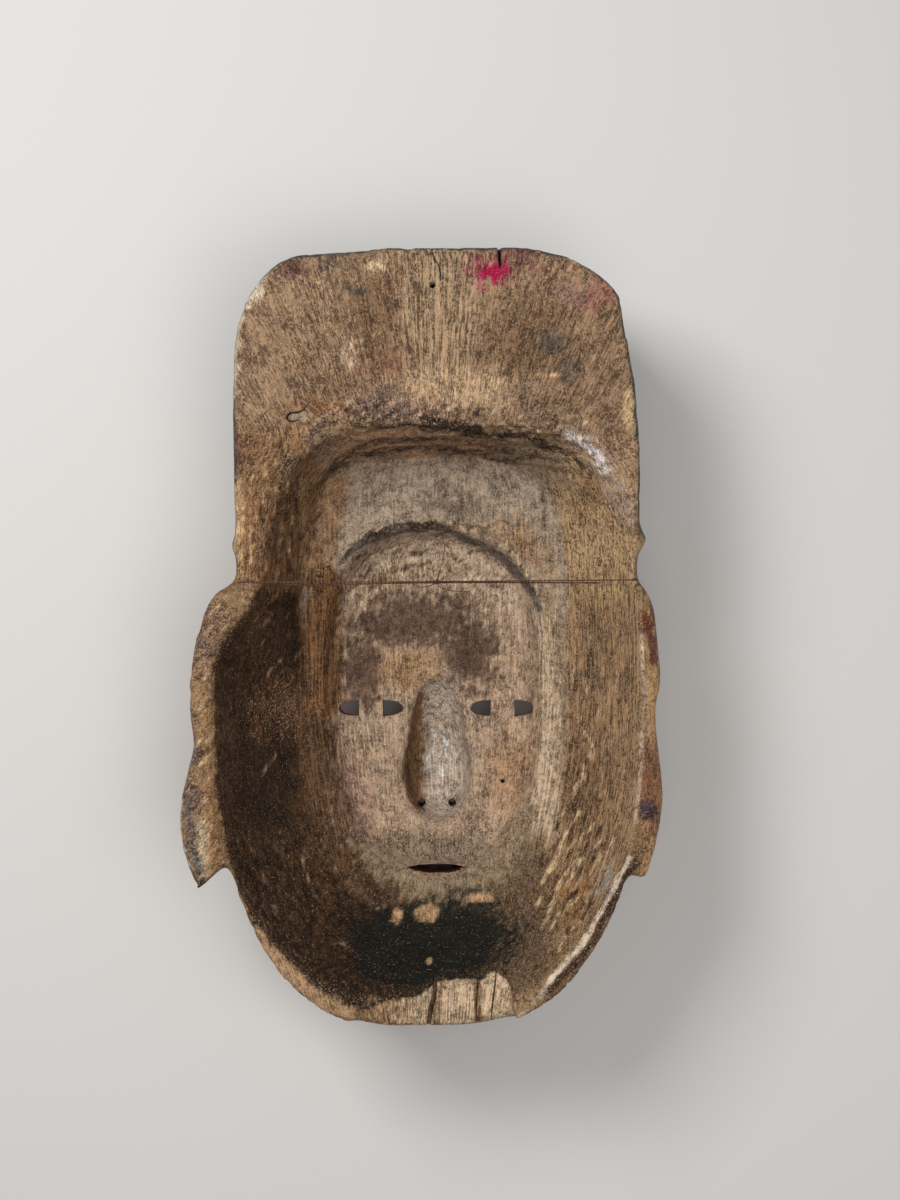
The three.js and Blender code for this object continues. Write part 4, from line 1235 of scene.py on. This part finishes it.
def paint_arch(coat):
    """The frayed edge of the arch with crust and painted shade on its left half, the grey band below it and
    the gouges that follow it.
    """
    s = coat.surface
    here = s.back * step(38, 42, s.level)
    inner = [(x * 0.82, y - 11) for x, y in ARCH_EDGE]
    coat.stroke(here, (172, 150, 131), inner, 16, 0.8, soft=0.5, strokes=0.7)
    below = [(x * 0.97, y - 2.4) for x, y in ARCH_EDGE]
    coat.stroke(here, (90, 82, 75), below, 3.4, 0.9, soft=0.35, strokes=0.5, flecks=0.05)
    coat.scratch(here, (206, 184, 158), 0.55, (-14, 37), (26, 7), 14, 62, 6, 1.3)
    coat.scratch(here, (92, 72, 58), 0.5, (-12, 34), (30, 9), 12, 66, 7, 1.4)
    # Crust and painted shade along the left half of the edge, where the step below falls into shadow.
    coat.stroke(here, (56, 46, 40), ARCH_EDGE[:7], 4.2, 0.9, soft=0.5, ragged=0.9, crust=1.0)
    frayed = step(-0.35, 0.15, s.lumps(4, 36))
    above = [(x, y + 1.6) for x, y in ARCH_EDGE[2:]]
    coat.stroke(here * frayed, (206, 180, 150), above, 1.9, 0.9, soft=0.5, ragged=0.5, flecks=0.8)
    paint_frayed_fibres(coat, here)
    paint_arch_gouges(coat, here)


def paint_frayed_fibres(coat, here):
    """Short fibres that stand out from the arch's edge, dark and pale by turns."""
    for i, (x, y) in enumerate(catmull_rom([Vector(point) for point in ARCH_EDGE], 3)):
        outward = Vector((x, y - OVAL_MIDDLE[1])).normalized() * (2.2 + 1.2 * math.sin(3.1 * i))
        fibre = ((x, y + 0.6), (x + outward.x, y + 0.6 + outward.y))
        colour = (198, 172, 144) if i % 2 else (80, 66, 56)
        coat.stroke(here, colour, fibre, 1.3, 0.75, ragged=0.4)


def paint_arch_gouges(coat, here):
    """Gouges that follow the arch inside its edge, each a line of painted shade with a painted highlight on
    its lit side.
    """
    uneven = step(-0.2, 0.3, coat.surface.lumps(9, 37))
    for shrink, drop in ((0.86, 8), (0.78, 13), (0.70, 19)):
        gouge = [(x * shrink, y - drop) for x, y in ARCH_EDGE[1:12]]
        lit_side = [(x, y - 2.0) for x, y in gouge]
        # Painted shade in the gouge, painted highlight on its lit side.
        coat.stroke(here * uneven, (76, 58, 44), gouge, 1.8, 0.6, soft=0.7, ragged=1.2)
        coat.stroke(here, (192, 170, 142), lit_side, 1.8, 0.5, soft=0.7, ragged=1.2)


def face_floor(s):
    """The inside of the face, below the arch."""
    return s.back * step(BOWL_DEPTH + 1, BOWL_DEPTH + 4, s.level) * (1 - step(0.98, 1.0, s.oval))


def paint_face_floor(coat):
    """The inside of the face, with a purple-grey stain."""
    floor = face_floor(coat.surface)
    coat.paint(TONES["face_floor"], floor, strokes=0.7, flecks=0.25, streaks=0.35)
    coat.dab(floor, (126, 100, 76), (-34, 26), (16, 9), 0.7, turn=35, streaks=0.6)
    stain = np.maximum.reduce([
        coat.spot((-10, 9), (31, 11), 0.6),
        coat.spot((15, -6), (13, 17), 0.6),
        coat.spot((-33, -13), (11, 17), 0.6),
    ])
    coat.paint(TONES["stain"], floor * stain * 0.95, strokes=0.35, flecks=0.04, streaks=0.2)
    coat.dab(floor * stain, (88, 69, 60), (21, -16), (6, 8), 0.8, 0.6)
    coat.dab(floor, (162, 130, 98), (-12, -13), (13, 8), 0.5, strokes=0.8)
    coat.dab(floor, (158, 130, 113), (-38, -76), (9, 22), 0.5, strokes=0.7)
    coat.dab(floor, (166, 134, 106), (34, -60), (11, 16), 0.6)


def paint_pocket(coat):
    """The nose's shiny pocket, pale grey with painted highlights on its right and painted shade on its left,
    and the rough ledge under it.
    """
    s = coat.surface
    pocket = s.back * step(OVAL_DEPTH + 1, OVAL_DEPTH + 6, s.level) * (1 - step(18, 22, np.abs(s.x)))
    # Pale grey over the pocket: painted highlight.
    coat.paint(TONES["pocket"], pocket, strokes=0.35, shine=0.75, streaks=0.5)
    # Painted shade on the pocket's left side.
    coat.paint((112, 84, 58), pocket * (1 - step(-9, -3, coat.x)), shine=0.3, streaks=0.6)
    # Two white painted highlights down the pocket.
    for glint in (((-1, -42), (-4, -58)), ((4, -44), (2.5, -62))):
        coat.stroke(pocket, (214, 214, 208), glint, 1.8, 0.7, soft=0.9, ragged=0.5, shine=0.9)
    rough = {"shine": 0.3, "flecks": 0.6, "crust": 0.6}
    coat.dab(face_floor(s), (138, 120, 102), (0, NOSE_BASE - 9), (28, 6), 0.5, **rough)


def paint_black_patch(coat):
    """The black patch above the broken chin, and the bare spots in it."""
    s = coat.surface
    patch = s.back * step(8, 12, s.level) * (1 - raw_wood(s))
    patch *= np.maximum(coat.spot((-8, -141), (30, 21), 0.16), coat.spot((12, -136), (24, 18), 0.5))
    coat.paint(TONES["black_patch"], patch, strokes=0.25, shine=0.12, flecks=0.05, crust=0.05)
    bare_spots = (
        ((-18, -126), (2.2, 4)), ((-4, -125), (5.6, 3.8)),
        ((20, -118.5), (6, 2.2)), ((-3, -147), (1.6, 2)),
    )
    for middle, reach in bare_spots:
        coat.dab(s.back, (184, 148, 112), middle, reach, 0.3, ragged=0.4, strokes=0.8, flecks=0.3)


def paint_break(coat):
    """Pale raw wood where the chin has split away, and the dark line along its inner edge."""
    s = coat.surface
    raw = raw_wood(s) * s.back
    coat.paint(TONES["raw_wood"], raw, strokes=0.5, shine=0.0, flecks=0.05, streaks=0.7)
    coat.stroke(raw, (134, 106, 80), ((1.8, -158), (-2.4, -180)), 5, 0.7, soft=0.8)
    coat.stroke(raw, (120, 88, 62), ((19.2, -157), (18.6, -180)), 3, 0.8, soft=0.8)
    coat.paint((150, 116, 82), raw * (1 - step(-24, -8, s.x)) * 0.7)
    line = np.interp(s.x, *zip(*BREAK_LINE))
    inner_edge = s.back * bell(s.y - line - 1.5, 1.6) * band(BREAK_SIDES[0], BREAK_SIDES[1] + 1, s.x, 2)
    coat.paint((46, 36, 28), inner_edge * 0.7, crust=0.6)


def paint_glints(coat):
    """Painted highlights on the lip's shiny upper right, where its rounded edge catches the light."""
    back = coat.surface.back
    arc = ((63, 93), (69, 89), (74, 84.5), (78, 77), (82, 68), (86, 58))
    # Painted highlight along the rounded lip, with a brighter core near its top.
    coat.stroke(back, (164, 142, 128), arc, 9, 0.75, ragged=0.5, strokes=0.5, shine=0.6)
    coat.stroke(back, (220, 212, 210), arc[:4], 3.6, 0.8, soft=0.8, ragged=0.5, shine=0.9)


# Each layer lies over the ones before it.
LAYERS = (
    paint_front, paint_hat_back, paint_left_rim, paint_right_rim, paint_bowl, paint_left_wall,
    paint_low_wall, paint_wall_marks, paint_low_rim, paint_face_floor, paint_pocket,
    paint_black_patch, paint_arch, paint_shelf, paint_trough, paint_top_wall, paint_left_strip,
    paint_hat_stains, paint_hat_edges, paint_break, paint_glints,
)


def lightness(nodes, grain, at, strokes, streaks, grit):
    """How light the wood is: fine tool strokes, long streaks along the grain and cloudy patches."""
    fine = nodes.noise(nodes.stretch(grain, (0.72, 0.13, 0.72)), 1.0, 3.0, 0.62, 0.8)
    ridge = nodes.math("ABSOLUTE", nodes.math("SUBTRACT", fine, 0.5))
    long = nodes.noise(nodes.stretch(grain, (1.0, 0.035, 1.0)), 1.0, 3.0, 0.65)
    fibre = nodes.math("MULTIPLY", nodes.range(ridge, 0.0, 0.07, 1.5, -0.62, smooth=False), strokes)
    streak = nodes.math("MULTIPLY", nodes.range(long, 0.41, 0.59, -1.0, 1.0), streaks)
    drawn = nodes.math("MULTIPLY_ADD", streak, 0.6, nodes.math("MULTIPLY", fibre, 0.78))
    cloud = nodes.range(nodes.noise(at, 0.08, 3.0, 0.6), 0.3, 0.7, -0.28, 0.28)
    mottle = nodes.range(nodes.noise(at, 0.3, 2.0, 0.6), 0.3, 0.7, -0.34, 0.34)
    speckle = nodes.range(grit, 0.38, 0.62, -0.32, 0.46)
    patchy = nodes.math("ADD", nodes.math("ADD", cloud, mottle), speckle)
    return drawn, nodes.math("ADD", drawn, patchy)


def painted_wood():
    """Old wood whose colour and finish are painted on its points, with fine marks by pattern."""
    nodes = Nodes("painted_wood")
    tone = nodes.attribute("tone")
    streaks = nodes.attribute("tone", "Alpha")
    strokes, shine, flecks = nodes.parts(nodes.attribute("finish"))
    crust = nodes.attribute("finish", "Alpha")
    grain = nodes.attribute("grain", "Vector")
    at = nodes.object_mm()
    grit = nodes.noise(at, 1.15, 3.0, 0.7)
    drawn, light = lightness(nodes, grain, at, strokes, streaks, grit)

    darker = nodes.mix(1.0, tone, (0.34, 0.28, 0.24, 1.0), "MULTIPLY")
    lighter = nodes.mix(1.0, tone, (2.0, 1.92, 1.78, 1.0), "MULTIPLY")
    colour = nodes.mix(nodes.range(light, -0.8, 0.0, smooth=False), darker, tone)
    colour = nodes.mix(nodes.range(light, 0.0, 0.9, smooth=False), colour, lighter)

    # Pale flecks: partly pale grit and worn wood, partly painted highlights on the grain's ridges.
    pale = nodes.range(nodes.math("MULTIPLY_ADD", flecks, 0.12, grit), 0.65, 0.685)
    pale = nodes.math("MAXIMUM", pale, nodes.math("MULTIPLY", nodes.range(grit, 0.54, 0.62), crust))
    bleach_and_glint = nodes.mix(0.62, tone, shade((232, 200, 160)))
    colour = nodes.mix(nodes.math("MULTIPLY", pale, 0.78), colour, bleach_and_glint)
    dirt = nodes.noise(nodes.stretch(grain, (0.8, 0.5, 0.8)), 1.0, 3.0, 0.7)
    pit = nodes.range(nodes.math("MULTIPLY_ADD", crust, -0.15, dirt), 0.31, 0.25)
    colour = nodes.mix(nodes.math("MULTIPLY", pit, 0.7), colour, shade((34, 24, 18)))
    nodes.link(colour, nodes.shader.inputs["Base Color"])
    nodes.shader.inputs["Specular IOR Level"].default_value = 0.22

    rough = nodes.range(shine, 0.0, 1.0, 0.8, 0.26, smooth=False)
    rough = nodes.math("ADD", rough, nodes.range(grit, 0.3, 0.7, -0.08, 0.1))
    nodes.link(rough, nodes.shader.inputs["Roughness"])
    raised = nodes.math("MULTIPLY_ADD", pale, 0.35, drawn)
    nodes.bump(nodes.math("SUBTRACT", raised, nodes.math("MULTIPLY", pit, 0.9)), 0.7, 0.0005)
    return nodes.material


def add_mask():
    """The carved mask with its painted wood, in place of the solid one."""
    mesh = mask_mesh()
    mesh.name = "carved_mask"
    coat = Coat(Surface.of_mesh(mesh), TONES["bare_wood"])
    for layer in LAYERS:
        layer(coat)
    coat.save(mesh)
    mesh.materials.clear()
    mesh.materials.append(painted_wood())
    mask = bpy.data.objects.new("carved_mask", mesh)
    bpy.context.scene.collection.objects.link(mask)
    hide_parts("mask")
    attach(mask, "root")


def add_floor():
    """Plain pale paper under the mask."""
    form = bmesh.new()
    bmesh.ops.create_grid(form, x_segments=1, y_segments=1, size=2.0)
    mesh = bpy.data.meshes.new("floor")
    form.to_mesh(mesh)
    form.free()
    nodes = Nodes("floor_paper")
    nodes.shader.inputs["Base Color"].default_value = shade((226, 224, 220))
    nodes.shader.inputs["Roughness"].default_value = 0.9
    mesh.materials.append(nodes.material)
    floor = bpy.data.objects.new("floor", mesh)
    bpy.context.scene.collection.objects.link(floor)


def add_light(name, at, size, power):
    """A square soft light that faces the mask."""
    data = bpy.data.lights.new(name, "AREA")
    data.size = size
    data.energy = power
    light = bpy.data.objects.new(name, data)
    bpy.context.scene.collection.objects.link(light)
    light.location = at
    light.rotation_euler = (LIT_MIDDLE - Vector(at)).to_track_quat("-Z", "Y").to_euler()


def add_lights():
    """The key light, the fill light and the even light of the room."""
    add_light("key", **KEY_LIGHT)
    add_light("fill", **FILL_LIGHT)
    world = bpy.data.worlds.new("room")
    world.use_nodes = True
    background = world.node_tree.nodes["Background"]
    background.inputs["Color"].default_value = (1.0, 1.0, 1.0, 1.0)
    background.inputs["Strength"].default_value = ROOM_LIGHT
    bpy.context.scene.world = world
    bpy.context.scene.view_settings.view_transform = "Standard"


add_camera()
add_strings()
add_mask()
add_floor()
add_lights()
